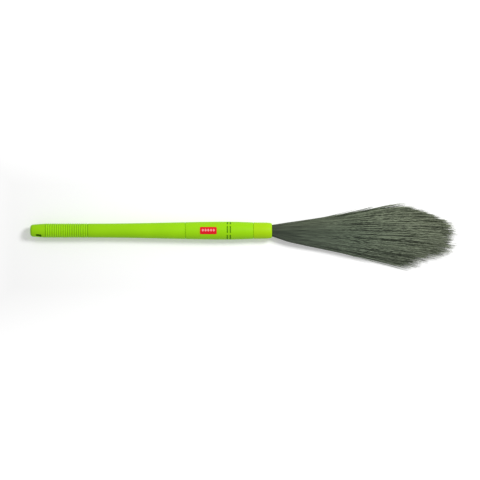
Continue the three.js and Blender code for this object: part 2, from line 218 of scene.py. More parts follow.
def studio_paper():
    """Matt white background paper."""
    material, tree = new_material("studio_paper")
    paper = add(tree, "ShaderNodeBsdfDiffuse", {"Color": colour("#F2F2F2")})
    place = add(tree, "ShaderNodeTexCoord").outputs["Object"]
    part = add(tree, "ShaderNodeSeparateXYZ", {0: place}).outputs
    aside = add(tree, "ShaderNodeMath", {0: part["Y"]}, operation="ABSOLUTE")
    lengthwise = add(tree, "ShaderNodeMath", {0: part["X"]}, operation="ABSOLUTE")
    past_end = add(tree, "ShaderNodeMath", {0: lengthwise, 1: GLOW_ENDS}, operation="SUBTRACT")
    away = add(tree, "ShaderNodeMath", {0: aside, 1: past_end}, operation="MAXIMUM")
    glow = add(tree, "ShaderNodeMapRange", {0: away, 1: GLOW_NEAR, 2: GLOW_FAR, **GLOW_LEVELS})
    seen = add(tree, "ShaderNodeLightPath").outputs["Is Camera Ray"]
    strength = add(tree, "ShaderNodeMath", {0: glow, 1: seen}, operation="MULTIPLY")
    lift = add(tree, "ShaderNodeEmission", {"Color": colour("#FFFFFF"), "Strength": strength})
    both = add(tree, "ShaderNodeAddShader", {0: paper, 1: lift})
    add(tree, "ShaderNodeOutputMaterial", {"Surface": both})
    return material


def white_room():
    """An even room that lights the broom softly and shows white behind it."""
    world = bpy.data.worlds.new("white_room")
    world.use_nodes = True
    tree = world.node_tree
    tree.nodes.clear()
    seen = add(tree, "ShaderNodeLightPath").outputs["Is Camera Ray"]
    strength = add(tree, "ShaderNodeMapRange", {0: seen, 3: ROOM_STRENGTH, 4: 1.0})
    light = add(tree, "ShaderNodeBackground", {"Color": colour("#FFFFFF"), "Strength": strength})
    add(tree, "ShaderNodeOutputWorld", {"Surface": light})
    return world


floor_mesh = bpy.data.meshes.new("floor")
half = FLOOR_SIZE / 2
corners = [(x, y, -FLOOR_DROP) for x, y in ((-half, -half), (half, -half), (half, half), (-half, half))]
floor_mesh.from_pydata(corners, [], [(0, 1, 2, 3)])
floor = bpy.data.objects.new("floor", floor_mesh)
floor_mesh.materials.append(studio_paper())
bpy.context.scene.collection.objects.link(floor)
floor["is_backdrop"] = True

lamp = bpy.data.objects.new("lamp", bpy.data.lights.new("lamp", "AREA"))
lamp.data.size = LAMP_SIZE
lamp.data.energy = LAMP_WATTS
lamp.location = LAMP_PLACE
lamp.rotation_euler = (LAMP_AIM - LAMP_PLACE).to_track_quat("-Z", "Y").to_euler()
bpy.context.scene.collection.objects.link(lamp)
bpy.context.scene.world = white_room()
bpy.context.scene.view_settings.view_transform = "Standard"
print("floor", FLOOR_SIZE, "m across, lamp", LAMP_WATTS, "W")

# %% [markdown]
# ## Moulded plastic
# The handle is injection-moulded polypropylene: a clear, even colour with a satin skin. A moulded skin is
# never quite flat, so a slow noise shifts the colour a little where the melt flowed together, and a fine
# noise gives the skin its grain, in the roughness and as a very shallow bump. Both read Object coordinates,
# so the pattern runs on from one piece to the next at its real size. Where a mesh stores its relief, from -1
# in a valley to 1 on a crest, shade is painted into the valleys and light onto the crests. The collar is the
# same plastic in a yellower lime, and the cup inside is a deeper green, which paints shade into the windows.

# %% Satin polypropylene
FLOW_SIZE = 60 * MM
SKIN_GRAIN = 1.6 * MM
GRAIN_DEPTH = 0.06 * MM
GRAIN_STRENGTH = 0.25
SKIN_POLISH = {3: 0.42, 4: 0.54}
# Painted shade in rib valleys and painted light on rib crests, as a change of brightness by relief.
RELIEF_PAINTED_LIGHT = {1: -1.0, 2: 1.0, 3: 0.9, 4: 1.32}


def satin_polypropylene(name, deep, light):
    """Moulded polypropylene: a clear colour, between a deep and a light tone, under a wide soft highlight."""
    material, tree = new_material(name)
    place = add(tree, "ShaderNodeTexCoord").outputs["Object"]
    flow = add(tree, "ShaderNodeTexNoise", {"Vector": place, "Scale": 1 / FLOW_SIZE, "Detail": 2.0})
    grain = add(tree, "ShaderNodeTexNoise", {"Vector": place, "Scale": 1 / SKIN_GRAIN, "Detail": 2.0})
    tone = add(tree, "ShaderNodeMix", {0: flow, 6: colour(deep), 7: colour(light)}, data_type="RGBA")
    # Painted shade and light: the stored relief darkens rib valleys and brightens rib crests.
    relief = add(tree, "ShaderNodeAttribute", attribute_name="relief").outputs["Fac"]
    painted_light_and_paling = add(tree, "ShaderNodeMapRange", {0: relief, **RELIEF_PAINTED_LIGHT})
    tone_with_painted_light_and_paling = add(tree, "ShaderNodeHueSaturation", {"Color": tone, "Value": painted_light_and_paling})
    polish = add(tree, "ShaderNodeMapRange", {0: grain, **SKIN_POLISH})
    depth = {"Strength": GRAIN_STRENGTH, "Distance": GRAIN_DEPTH, "Height": grain}
    bump = add(tree, "ShaderNodeBump", depth)
    skin = {"Base Color": tone_with_painted_light_and_paling, "Roughness": polish, "IOR": 1.49, "Specular IOR Level": 0.12, "Normal": bump}
    return finished(material, skin)


lime_plastic = satin_polypropylene("lime_polypropylene", "#8DC90A", "#9BD80E")
collar_plastic = satin_polypropylene("yellow_polypropylene", "#9AC80A", "#A9D70E")
# The cup's deeper green is painted shade, which darkens the windows of the socket.
cup_plastic_with_painted_shade = satin_polypropylene("green_polypropylene_painted_shade", "#7AB00A", "#88C00E")
print("made", ", ".join(plastic.name for plastic in (lime_plastic, collar_plastic, cup_plastic_with_painted_shade)))

# %% [markdown]
# ## Turned pieces
# The pieces of the handle are round, so each is a profile turned round the axis. A lathe of straight
# stretches would show hard edges, and real mouldings have none, so every sharp corner of a profile is first
# replaced by a small curve. The profile runs down the outside and back along the bore, which makes each piece
# a closed shell with its wall and its spigot.

# %% Profiles
CURVE_STEPS = 12
EDGE_ROUND = 0.35
EDGE_STEPS = 3
SHARP_CORNER = math.radians(20)


def on_handle(mm_along, radius, turn=0.0):
    """A point in metres: millimetres along the handle and from its axis, turned from the top to the front."""
    across, up = -radius * math.sin(turn), radius * math.cos(turn)
    return Vector((BUTT_X + mm_along * MM, AXIS_Y + across * MM, AXIS_Z + up * MM))


def bezier(*controls, steps=CURVE_STEPS):
    """Points along the curve that the control points draw, with both its ends."""
    points = []
    for i in range(steps + 1):
        level = [Vector(control) for control in controls]
        while len(level) > 1:
            level = [a.lerp(b, i / steps) for a, b in zip(level, level[1:])]
        points.append(level[0])
    return points


def softened(profile):
    """A profile of (along, radius) with its sharp corners rounded. Points on the axis stay."""
    points = [Vector(point) for point in profile]
    soft = []
    for before, corner, after in zip(points[-1:] + points[:-1], points, points[1:] + points[:1]):
        into, out = corner - before, after - corner
        if corner.y == 0 or into.length == 0 or out.length == 0 or into.angle(out) < SHARP_CORNER:
            soft.append(corner)
        else:
            reach = min(EDGE_ROUND, into.length / 2, out.length / 2)
            start, end = corner - into.normalized() * reach, corner + out.normalized() * reach
            soft += bezier(start, corner, end, steps=EDGE_STEPS)
    return soft


# %% [markdown]
# Spin turns a profile into a surface. Its doubles are merged and its normals are worked out again, because a
# spun shape can come out inside out. Some pieces then go through a modifier. What comes out of it is kept as
# a plain mesh, so that every piece can leave Blender just as it is. At the end each piece is tied to the
# broom's one body, and the CAD nodes that it stands for are hidden.

# %% The lathe and plain meshes
TURN_STEPS = 112
SHADING_CORNER = math.radians(38)
MERGE_DISTANCE = 1e-7


def smoothed(mesh):
    """The mesh, shaded smooth but for its sharp corners."""
    mesh.shade_smooth()
    mesh.set_sharp_from_angle(angle=SHADING_CORNER)
    return mesh


def new_piece(name, mesh):
    """An object at the origin that holds the mesh."""
    piece = bpy.data.objects.new(name, smoothed(mesh))
    bpy.context.scene.collection.objects.link(piece)
    return piece


def piece_from(name, shape):
    """A piece from a shape that is being edited, with its faces turned outwards."""
    bmesh.ops.recalc_face_normals(shape, faces=shape.faces)
    mesh = bpy.data.meshes.new(name)
    shape.to_mesh(mesh)
    shape.free()
    return new_piece(name, mesh)


def turned(name, profile, material):
    """A profile turned round the handle's axis. A profile that starts on the axis also ends there."""
    shape = bmesh.new()
    corners = [shape.verts.new(on_handle(*point)) for point in softened(profile)]
    closing = [] if profile[0][1] == 0 else [(corners[-1], corners[0])]
    edges = [shape.edges.new(pair) for pair in [*zip(corners, corners[1:]), *closing]]
    whole = {"angle": 2 * math.pi, "steps": TURN_STEPS, "use_merge": True}
    bmesh.ops.spin(shape, geom=corners + edges, cent=on_handle(0, 0), axis=(1, 0, 0), **whole)
    bmesh.ops.remove_doubles(shape, verts=shape.verts, dist=MERGE_DISTANCE)
    piece = piece_from(name, shape)
    piece.data.materials.append(material)
    return piece


def as_plain_mesh(piece):
    """The piece with its modifiers worked into its mesh."""
    graph = bpy.context.evaluated_depsgraph_get()
    done = piece.evaluated_get(graph)
    mesh = bpy.data.meshes.new_from_object(done, preserve_all_data_layers=True, depsgraph=graph)
    piece.modifiers.clear()
    spent = piece.data
    piece.data = smoothed(mesh)
    bpy.data.meshes.remove(spent)
    return piece


def run_tree(piece, tree, values):
    """Runs a Geometry Nodes tree on a piece, with a value for each named input, and keeps the plain mesh."""
    modifier = piece.modifiers.new(tree.name, "NODES")
    modifier.node_group = tree
    for socket in tree.interface.items_tree:
        if socket.in_out == "INPUT" and socket.name in values:
            modifier[socket.identifier] = values[socket.name]
    return as_plain_mesh(piece)


def dressed(piece, slot, *nodes):
    """The piece rides on the broom's one body and stands for its CAD nodes, which it hides. The slot is not
    used.
    """
    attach(piece, "root")
    if nodes:
        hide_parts(*nodes)
    faces = sum(len(polygon.vertices) - 2 for polygon in piece.data.polygons)
    print(piece.name, "has", faces, "triangles")


# %% [markdown]
# ## End cap
# The butt of the handle is a tapered thimble with a domed end, and it plugs into the grip. Its slot, to hang
# the broom on a nail, goes through both walls and faces half to the top and half to the front. The thimble
# is turned, and a Boolean cuts the slot, because a slot through a round wall is hard to draw face by face.

# %% End cap with its hanging slot
CAP_RADIUS = widest("end_cap")
WALL = 2.4
THIN_WALL = 1.7
CHAMFER = 0.8
BORE_TAPER = 3.0
BUTT_FACE = 5.0
BUTT_ROUND = 7.0
CAP_TAPER = 2.2
CAP_PLUG_LENGTH = 13.0
CAP_SEAM_CHAMFER = 0.4
RIB_RADIUS = widest("grip")
RIB_DEPTH = 1.4
SLOT_LENGTH = 14.0
SLOT_WIDTH = 9.0
SLOT_CORNER = 3.0
SLOT_MIDDLE = 20.0
SLOT_TURN = math.radians(52)
SLOT_CORNER_STEPS = 6


def spigot_tip(tip, bore, radius, side):
    """A spigot's chamfered tip, from bore to outside. The spigot lies to its right, 1, or its left, -1."""
    return [(tip, bore), (tip, radius - CHAMFER), (tip + side * CHAMFER, radius)]


def end_cap():
    """The thimble, before its slot is cut."""
    edge, hollow = CAP_RADIUS - CAP_TAPER, CAP_RADIUS - WALL
    plug = RIB_RADIUS - RIB_DEPTH - THIN_WALL - SEAM_GAP
    plug_end = CAP_END + CAP_PLUG_LENGTH
    butt = [(0, 0), *bezier((0, BUTT_FACE), (0, edge), (BUTT_ROUND, edge))]
    seam_chamfer = [(CAP_END - CAP_SEAM_CHAMFER, CAP_RADIUS), (CAP_END, CAP_RADIUS - CAP_SEAM_CHAMFER)]
    seam = [*seam_chamfer, (CAP_END, plug)]
    spigot = spigot_tip(plug_end, plug - THIN_WALL, plug, -1)[::-1]
    bore = [(CAP_END, plug - THIN_WALL), (CAP_END - BORE_TAPER, hollow)]
    floor_start = (BUTT_ROUND + WALL, edge - WALL)
    bottom = [*bezier(floor_start, (WALL, edge - WALL), (WALL, BUTT_FACE)), (WALL, 0)]
    return turned("moulded_end_cap", butt + seam + spigot + bore + bottom, lime_plastic)


def slot_cutter():
    """A round-cornered bar that passes right through the end cap."""
    shape = bmesh.new()
    outline = []
    for corner, (side, end) in enumerate(((1, 1), (-1, 1), (-1, -1), (1, -1))):
        for step in range(SLOT_CORNER_STEPS + 1):
            angle = (corner + step / SLOT_CORNER_STEPS) * math.pi / 2
            across = side * (SLOT_WIDTH / 2 - SLOT_CORNER) + SLOT_CORNER * math.cos(angle)
            lengthwise = end * (SLOT_LENGTH / 2 - SLOT_CORNER) + SLOT_CORNER * math.sin(angle)
            outline.append((SLOT_MIDDLE + lengthwise, across))
    out = on_handle(0, 2 * CAP_RADIUS, SLOT_TURN) - on_handle(0, 0)
    aside = on_handle(0, 1, SLOT_TURN + math.pi / 2) - on_handle(0, 0)
    face = [shape.verts.new(on_handle(a, 0) + aside * across - out) for a, across in outline]
    grown = bmesh.ops.extrude_face_region(shape, geom=[shape.faces.new(face)])["geom"]
    tops = [item for item in grown if isinstance(item, bmesh.types.BMVert)]
    bmesh.ops.translate(shape, verts=tops, vec=2 * out)
    return piece_from("slot_cutter", shape)


cap = end_cap()
cutter = slot_cutter()
boolean = cap.modifiers.new("hanging_slot", "BOOLEAN")
boolean.object = cutter
boolean.operation = "DIFFERENCE"
boolean.solver = "EXACT"
as_plain_mesh(cap)
bpy.data.objects.remove(cutter)
dressed(cap, "lime_plastic", "end_cap")

# %% [markdown]
# ## Ribbed grip
# The hand holds a row of round ribs. They could be drawn into the profile one by one, but their rule is
# simple: the wall rises and falls like a cosine, once every pitch. So the sleeve is turned plain, with close
# rings, and a Geometry Nodes tree presses the valleys into its outer wall. Pitch, depth and count are then
# inputs. The tree also stores the cosine as the relief that the plastic reads.

# %% Ribs pressed in by Geometry Nodes
RIB_COUNT = 19
RIB_PITCH = 5.2
RINGS_PER_RIB = 14
GRIP_SPIGOT_LENGTH = 22.0
TUBE_START_RADIUS = 16.4
RIBS = {
    "First Valley": BUTT_X + GRIP_START * MM,
    "Pitch": RIB_PITCH * MM,
    "Depth": RIB_DEPTH * MM,
    "Axis Y": AXIS_Y,
    "Axis Z": AXIS_Z,
    "Outer Wall": (RIB_RADIUS - RIB_DEPTH) * MM,
    "Count": RIB_COUNT,
    "Material": lime_plastic,
}


def rib_tree():
    """Presses evenly spaced valleys into the outer wall of a sleeve that lies along X."""
    tree, given = new_tree("rib_valleys", RIBS)
    size = given.outputs
    place = add(tree, "ShaderNodeSeparateXYZ", {0: add(tree, "GeometryNodeInputPosition")}).outputs
    start = add(tree, "ShaderNodeMath", {0: place["X"], 1: size["First Valley"]}, operation="SUBTRACT")
    ribs = add(tree, "ShaderNodeMath", {0: start, 1: size["Pitch"]}, operation="DIVIDE")
    kept = add(tree, "ShaderNodeClamp", {0: ribs, 1: 0.0, 2: size["Count"]})
    turns = add(tree, "ShaderNodeMath", {0: kept, 1: 2 * math.pi}, operation="MULTIPLY")
    valley = add(tree, "ShaderNodeMath", {0: turns}, operation="COSINE")
    relief = add(tree, "ShaderNodeMath", {0: valley, 1: -1.0}, operation="MULTIPLY")
    dip = add(tree, "ShaderNodeMath", {0: relief, 1: 0.5, 2: -0.5}, operation="MULTIPLY_ADD")
    press = add(tree, "ShaderNodeMath", {0: dip, 1: size["Depth"]}, operation="MULTIPLY")
    across = add(tree, "ShaderNodeMath", {0: place["Y"], 1: size["Axis Y"]}, operation="SUBTRACT")
    up = add(tree, "ShaderNodeMath", {0: place["Z"], 1: size["Axis Z"]}, operation="SUBTRACT")
    spoke = add(tree, "ShaderNodeCombineXYZ", {"Y": across, "Z": up})
    reach = add(tree, "ShaderNodeVectorMath", {0: spoke}, operation="LENGTH").outputs["Value"]
    outer = add(tree, "FunctionNodeCompare", {0: reach, 1: size["Outer Wall"]}, operation="GREATER_THAN")
    outward = add(tree, "ShaderNodeVectorMath", {0: spoke}, operation="NORMALIZE")
    move = add(tree, "ShaderNodeVectorMath", {0: outward, "Scale": press}, operation="SCALE")
    # The relief lets the plastic paint shade into the valleys and light onto the crests.
    noted = {"Geometry": size["Geometry"], "Selection": outer, "Name": "relief", "Value": relief}
    marked = add(tree, "GeometryNodeStoreNamedAttribute", noted)
    moved = {"Geometry": marked, "Selection": outer, "Offset": move}
    end_tree(tree, given, add(tree, "GeometryNodeSetPosition", moved))
    return tree


def plain_sleeve():
    """The grip before its ribs: a sleeve with close rings and a spigot for the tube."""
    bore = RIB_RADIUS - RIB_DEPTH - THIN_WALL
    spigot = TUBE_START_RADIUS - WALL - SEAM_GAP
    spigot_end = GRIP_END + GRIP_SPIGOT_LENGTH
    ring_step = RIB_PITCH / RINGS_PER_RIB
    rings = [(GRIP_START + i * ring_step, RIB_RADIUS) for i in range(RIB_COUNT * RINGS_PER_RIB + 1)]
    shoulder = [(GRIP_END, RIB_RADIUS), (GRIP_END, spigot)]
    plug = spigot_tip(spigot_end, spigot - WALL, spigot, -1)[::-1]
    inside = [(GRIP_END, spigot - WALL), (GRIP_END - BORE_TAPER, bore), (GRIP_START, bore)]
    return turned("moulded_grip", rings + shoulder + plug + inside, lime_plastic)


grip = run_tree(plain_sleeve(), rib_tree(), RIBS)
dressed(grip, "lime_plastic", "grip")

# %% [markdown]
# ## Handle tube and collar
# Both are plain turned mouldings. The tube runs straight out of the grip and then swells towards the socket,
# one long curve with four control points. The collar narrows a little and ends in a full round lip, which
# gathers the bristles without an edge that could cut them.

# %% Handle tube and collar
TUBE_SWELL_RADIUS = 17.4
TUBE_STRAIGHT_SHARE = 0.35
TUBE_SWELL_SHARE = 0.5
TUBE_END_RADIUS = widest("handle_tube")
SOCKET_SPIGOT_LENGTH = 26.0
SPIGOT_SLACK = 1.0
COLLAR_RADIUS = widest("collar")
COLLAR_BORE = 14.7
COLLAR_TAPER = 0.2
COLLAR_SPIGOT_LENGTH = 24.0
COLLAR_LEAD_IN = 1.2
COLLAR_LEAD_LENGTH = 6.0
LIP_RADIUS = 15.4
LIP_LENGTH = 20.0
SOCKET_BORE = 17.2


def handle_tube():
    """An even wall that swells towards the socket."""
    length = TUBE_END - GRIP_END
    straight = TUBE_START + TUBE_STRAIGHT_SHARE * length
    swell = TUBE_START + TUBE_SWELL_SHARE * length
    radii = (TUBE_START_RADIUS, TUBE_START_RADIUS, TUBE_SWELL_RADIUS, TUBE_END_RADIUS)
    outer = zip((TUBE_START + CHAMFER, straight, swell, TUBE_END - CHAMFER), radii)
    seat = TUBE_END - SOCKET_SPIGOT_LENGTH - SPIGOT_SLACK
    inner = zip((TUBE_START, straight, swell, seat), (radius - WALL for radius in radii))
    first = [(TUBE_START, TUBE_START_RADIUS - WALL), (TUBE_START, TUBE_START_RADIUS - CHAMFER)]
    last = [(TUBE_END, TUBE_END_RADIUS - CHAMFER), (TUBE_END, TUBE_END_RADIUS - WALL)]
    back = bezier(*reversed(list(inner)))[:-1]
    return turned("moulded_tube", first + bezier(*outer) + last + back, lime_plastic)


def collar():
    """A ring with a round lip, and a spigot that plugs into the socket."""
    spigot = SOCKET_BORE - SEAM_GAP
    plug_start = SOCKET_END - COLLAR_SPIGOT_LENGTH
    neck = COLLAR_RADIUS - COLLAR_TAPER
    lead_in = COLLAR_BORE + COLLAR_LEAD_IN
    plug = spigot_tip(plug_start, lead_in, spigot, 1)
    step = [(COLLAR_START, spigot), (COLLAR_START, COLLAR_RADIUS - CHAMFER)]
    lip = bezier((MOUTH - LIP_LENGTH, neck), (MOUTH, neck), (MOUTH, LIP_RADIUS))
    outside = [(COLLAR_START + CHAMFER, COLLAR_RADIUS), *lip]
    bore = [(MOUTH - LIP_RADIUS + COLLAR_BORE, COLLAR_BORE), (plug_start + COLLAR_LEAD_LENGTH, COLLAR_BORE)]
    return turned("moulded_collar", plug + step + outside + bore, collar_plastic)


dressed(handle_tube(), "lime_plastic", "handle_tube")
dressed(collar(), "lime_plastic", "collar")

# %% [markdown]
# ## Socket and its windows
# The socket is the barrel that holds the bristles. It is turned like the rest: one curve rises to its belly
# and another falls to the collar. Inside, a spigot plugs into the handle tube, and the wide bore ends in a
# shoulder behind the cup.

# %% Socket barrel
BELLY_RADIUS = widest("socket")
SOCKET_RISE = 48.0
BELLY_INSET = 69.0
NARROWING_INSET = 32.0
SOCKET_SHOULDER = 10.0
CUP_START = along(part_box("root_cup")[0].x)


def plain_barrel():
    """The socket before its windows: a barrel with a spigot for the handle tube."""
    spigot = TUBE_END_RADIUS - WALL - SEAM_GAP
    plug_start = TUBE_END - SOCKET_SPIGOT_LENGTH
    belly, shoulder = SOCKET_END - BELLY_INSET, SOCKET_START + SOCKET_SHOULDER
    plug = spigot_tip(plug_start, spigot - WALL, spigot, 1)
    seam = [(SOCKET_START, spigot), (SOCKET_START, TUBE_END_RADIUS - CHAMFER)]
    seam_top, end_top = (SOCKET_START + CHAMFER, TUBE_END_RADIUS), (SOCKET_END - CHAMFER, COLLAR_RADIUS)
    rise = bezier(seam_top, (SOCKET_START + SOCKET_RISE, BELLY_RADIUS), (belly, BELLY_RADIUS))
    fall = bezier((belly, BELLY_RADIUS), (SOCKET_END - NARROWING_INSET, BELLY_RADIUS), end_top)[1:]
    mouth = [(SOCKET_END, COLLAR_RADIUS - CHAMFER), (SOCKET_END, SOCKET_BORE)]
    seat = [(CUP_START - SPIGOT_SLACK, SOCKET_BORE), (shoulder, spigot)]
    bore = [(shoulder - BORE_TAPER, spigot - WALL)]
    return turned("moulded_socket", plug + seam + rise + fall + mouth + seat + bore, lime_plastic)


# %% [markdown]
# Two rings of short windows go through the socket's wall, and the lugs of the cup inside click into them.
# They are twelve cuts of one shape, so a Geometry Nodes tree makes one window block, bends it round the axis,
# sets a copy at each place and cuts them all from the barrel at once. Bending is only a change of
# coordinates: a cube's Y becomes the angle and its Z the radius.

# %% Windows cut by Geometry Nodes
CUT_OVERLAP = 1.0
WINDOW_RINGS = 2
WINDOWS_PER_RING = 6
WINDOW_ANGLE = math.radians(47)
WINDOW_WIDTH = 3.0
WINDOW_FIRST_TURN = math.radians(-8)
WINDOW_INSET = 61.0
WINDOW_RING_STEP = 7.0
WINDOW_BEND_STEPS = 16
WINDOWS = {
    "First Ring": on_handle(SOCKET_END - WINDOW_INSET, 0).x,
    "Ring Step": WINDOW_RING_STEP * MM,
    "Axis Y": AXIS_Y,
    "Axis Z": AXIS_Z,
    "Inner": (SOCKET_BORE - CUT_OVERLAP) * MM,
    "Outer": (BELLY_RADIUS + CUT_OVERLAP) * MM,
    "Angle": WINDOW_ANGLE,
    "Width": WINDOW_WIDTH * MM,
    "First Turn": WINDOW_FIRST_TURN,
    "Rings": WINDOW_RINGS,
    "Per Ring": WINDOWS_PER_RING,
    "Bend Steps": WINDOW_BEND_STEPS,
    "Material": lime_plastic,
}


def bent_block(tree, size):
    """A block that is bent round X: as wide, as long in angle and as deep as a window."""
    depth = add(tree, "ShaderNodeMath", {0: size["Outer"], 1: size["Inner"]}, operation="SUBTRACT")
    middle = add(tree, "ShaderNodeMath", {0: depth, 1: 0.5, 2: size["Inner"]}, operation="MULTIPLY_ADD")
    block_size = add(tree, "ShaderNodeCombineXYZ", {"X": size["Width"], "Y": size["Angle"], "Z": depth})
    block = add(tree, "GeometryNodeMeshCube", {"Size": block_size, "Vertices Y": size["Bend Steps"]})
    place = add(tree, "ShaderNodeSeparateXYZ", {0: add(tree, "GeometryNodeInputPosition")}).outputs
    radius = add(tree, "ShaderNodeMath", {0: place["Z"], 1: middle}, operation="ADD")
    sine = add(tree, "ShaderNodeMath", {0: place["Y"]}, operation="SINE")
    cosine = add(tree, "ShaderNodeMath", {0: place["Y"]}, operation="COSINE")
    across = add(tree, "ShaderNodeMath", {0: radius, 1: sine}, operation="MULTIPLY")
    up = add(tree, "ShaderNodeMath", {0: radius, 1: cosine}, operation="MULTIPLY")
    bent = add(tree, "ShaderNodeCombineXYZ", {"X": place["X"], "Y": across, "Z": up})
    return add(tree, "GeometryNodeSetPosition", {"Geometry": block.outputs["Mesh"], "Position": bent})


def window_tree():
    """Cuts rings of windows through the wall of a barrel that lies along X."""
    tree, given = new_tree("window_rings", WINDOWS)
    size = given.outputs
    number = add(tree, "GeometryNodeInputIndex")
    count = add(tree, "ShaderNodeMath", {0: size["Rings"], 1: size["Per Ring"]}, operation="MULTIPLY")
    share = add(tree, "ShaderNodeMath", {0: number, 1: size["Per Ring"]}, operation="DIVIDE")
    ring = add(tree, "ShaderNodeMath", {0: share}, operation="FLOOR")
    ring_place = {0: ring, 1: size["Ring Step"], 2: size["First Ring"]}
    x = add(tree, "ShaderNodeMath", ring_place, operation="MULTIPLY_ADD")
    spot = add(tree, "ShaderNodeCombineXYZ", {"X": x, "Y": size["Axis Y"], "Z": size["Axis Z"]})
    angle = {0: share, 1: 2 * math.pi, 2: size["First Turn"]}
    turn = add(tree, "ShaderNodeMath", angle, operation="MULTIPLY_ADD")
    rotation = add(tree, "ShaderNodeCombineXYZ", {"X": turn})
    spots = add(tree, "GeometryNodePoints", {"Count": count, "Position": spot})
    copies = {"Points": spots, "Instance": bent_block(tree, size), "Rotation": rotation}
    blocks = add(tree, "GeometryNodeInstanceOnPoints", copies)
    parts = {"Mesh 1": size["Geometry"], "Mesh 2": add(tree, "GeometryNodeRealizeInstances", {0: blocks})}
    cut = add(tree, "GeometryNodeMeshBoolean", parts, operation="DIFFERENCE", solver="EXACT")
    end_tree(tree, given, cut)
    return tree


socket = run_tree(plain_barrel(), window_tree(), WINDOWS)
dressed(socket, "lime_plastic", "socket")

# %% [markdown]
# ## Inside the socket
# The cup shows only through the windows, in the shade of a recess, and the binding wire not at all once
# the broom is together. Their CAD shapes are right, so they stay as they are and only get a finish. The fused
# root is where the fibres were welded: a short plug of the fibre's own plastic, turned like the rest.

# %% Galvanised wire, cup and fused root
SPANGLE_SIZE = 2.5 * MM
SPANGLE_POLISH = {3: 0.3, 4: 0.45}
MELT_SIZE = 3 * MM
MELT_DEPTH = 0.5 * MM
MELT_STRENGTH = 0.6
ROOT_RADIUS = 14.4
ROOT_LENGTH = 12.0
CUP_FLOOR = 3.0
ROOT_BACK = CUP_START + CUP_FLOOR + SEAM_GAP
ROOT_FACE = ROOT_BACK + ROOT_LENGTH


def galvanised_steel():
    """Zinc-coated wire: a grey metal whose crystals reflect a little unevenly."""
    material, tree = new_material("galvanised_steel")
    place = add(tree, "ShaderNodeTexCoord").outputs["Object"]
    crystals = add(tree, "ShaderNodeTexVoronoi", {"Vector": place, "Scale": 1 / SPANGLE_SIZE})
    spangle, grey, pale = crystals.outputs["Color"], colour("#9EA2A4"), colour("#B9BDBF")
    tone = add(tree, "ShaderNodeMix", {0: spangle, 6: grey, 7: pale}, data_type="RGBA")
    polish = add(tree, "ShaderNodeMapRange", {0: spangle, **SPANGLE_POLISH})
    return finished(material, {"Base Color": tone, "Metallic": 1.0, "Roughness": polish})


def welded_fibre():
    """Fibre ends melted into one plug: dark, lumpy and a little shiny."""
    material, tree = new_material("welded_fibre")
    place = add(tree, "ShaderNodeTexCoord").outputs["Object"]
    lumps = add(tree, "ShaderNodeTexNoise", {"Vector": place, "Scale": 1 / MELT_SIZE, "Detail": 3.0})
    dark, pale = colour("#333A30"), colour("#59614F")
    tone = add(tree, "ShaderNodeMix", {0: lumps, 6: dark, 7: pale}, data_type="RGBA")
    depth = {"Strength": MELT_STRENGTH, "Distance": MELT_DEPTH, "Height": lumps}
    bump = add(tree, "ShaderNodeBump", depth)
    return finished(material, {"Base Color": tone, "Roughness": 0.4, "IOR": 1.5, "Normal": bump})


# The cup's deeper green is painted shade in the windows.
for node, finish in {"root_cup": cup_plastic_with_painted_shade, "binding_wire": galvanised_steel()}.items():
    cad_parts[node].data.materials[0] = finish
root_outline = [(ROOT_BACK, 0), (ROOT_BACK, ROOT_RADIUS), (ROOT_FACE, ROOT_RADIUS), (ROOT_FACE, 0)]
dressed(turned("fused_root", root_outline, welded_fibre()), "bristle_fibre")

# %% [markdown]
# ## Label film
# A small red film with rounded corners sits on top of the socket. It is printed: fine flecks run through the
# red ink, and a plain row of pale lozenges lies across it. The material draws them from Object coordinates,
# at their real size.

# %% Printed film
LABEL_MIDDLE = 418.5
LOZENGE_PITCH = 6.4
LOZENGE_COUNT = 5
LOZENGE_HALF_LENGTH = 2.7
LOZENGE_HALF_HEIGHT = 3.6
LOZENGE_RISE = 1.0
LOZENGE_EDGE = {1: 0.94, 2: 1.06, 3: 1.0, 4: 0.0}
INK_FLECKS = 2 * MM
FILM_POLISH = {3: 0.4, 4: 0.5}


def lozenge_row(tree, place):
    """One inside a row of lozenges and zero outside, from Object coordinates."""
    middle = on_handle(LABEL_MIDDLE, 0) / MM
    shift = (-middle.x, -middle.y - LOZENGE_RISE, 0)
    centred = add(tree, "ShaderNodeMapping", {"Vector": place, "Location": shift, "Scale": (1 / MM,) * 3})
    spot = add(tree, "ShaderNodeSeparateXYZ", {0: centred}).outputs
    to_middle = add(tree, "ShaderNodeMath", {0: spot["X"], 1: LOZENGE_PITCH / 2}, operation="PINGPONG")
    lengthwise = add(tree, "ShaderNodeMath", {0: to_middle, 1: LOZENGE_HALF_LENGTH}, operation="DIVIDE")
    height = add(tree, "ShaderNodeMath", {0: spot["Y"]}, operation="ABSOLUTE")
    upwards = add(tree, "ShaderNodeMath", {0: height, 1: LOZENGE_HALF_HEIGHT}, operation="DIVIDE")
    edge = add(tree, "ShaderNodeMath", {0: lengthwise, 1: upwards}, operation="ADD")
    inside = add(tree, "ShaderNodeMapRange", {0: edge, **LOZENGE_EDGE})
    reach = add(tree, "ShaderNodeMath", {0: spot["X"]}, operation="ABSOLUTE")
    row_end = {0: reach, 1: LOZENGE_COUNT * LOZENGE_PITCH / 2}
    in_row = add(tree, "ShaderNodeMath", row_end, operation="LESS_THAN")
    return add(tree, "ShaderNodeMath", {0: inside, 1: in_row}, operation="MULTIPLY")


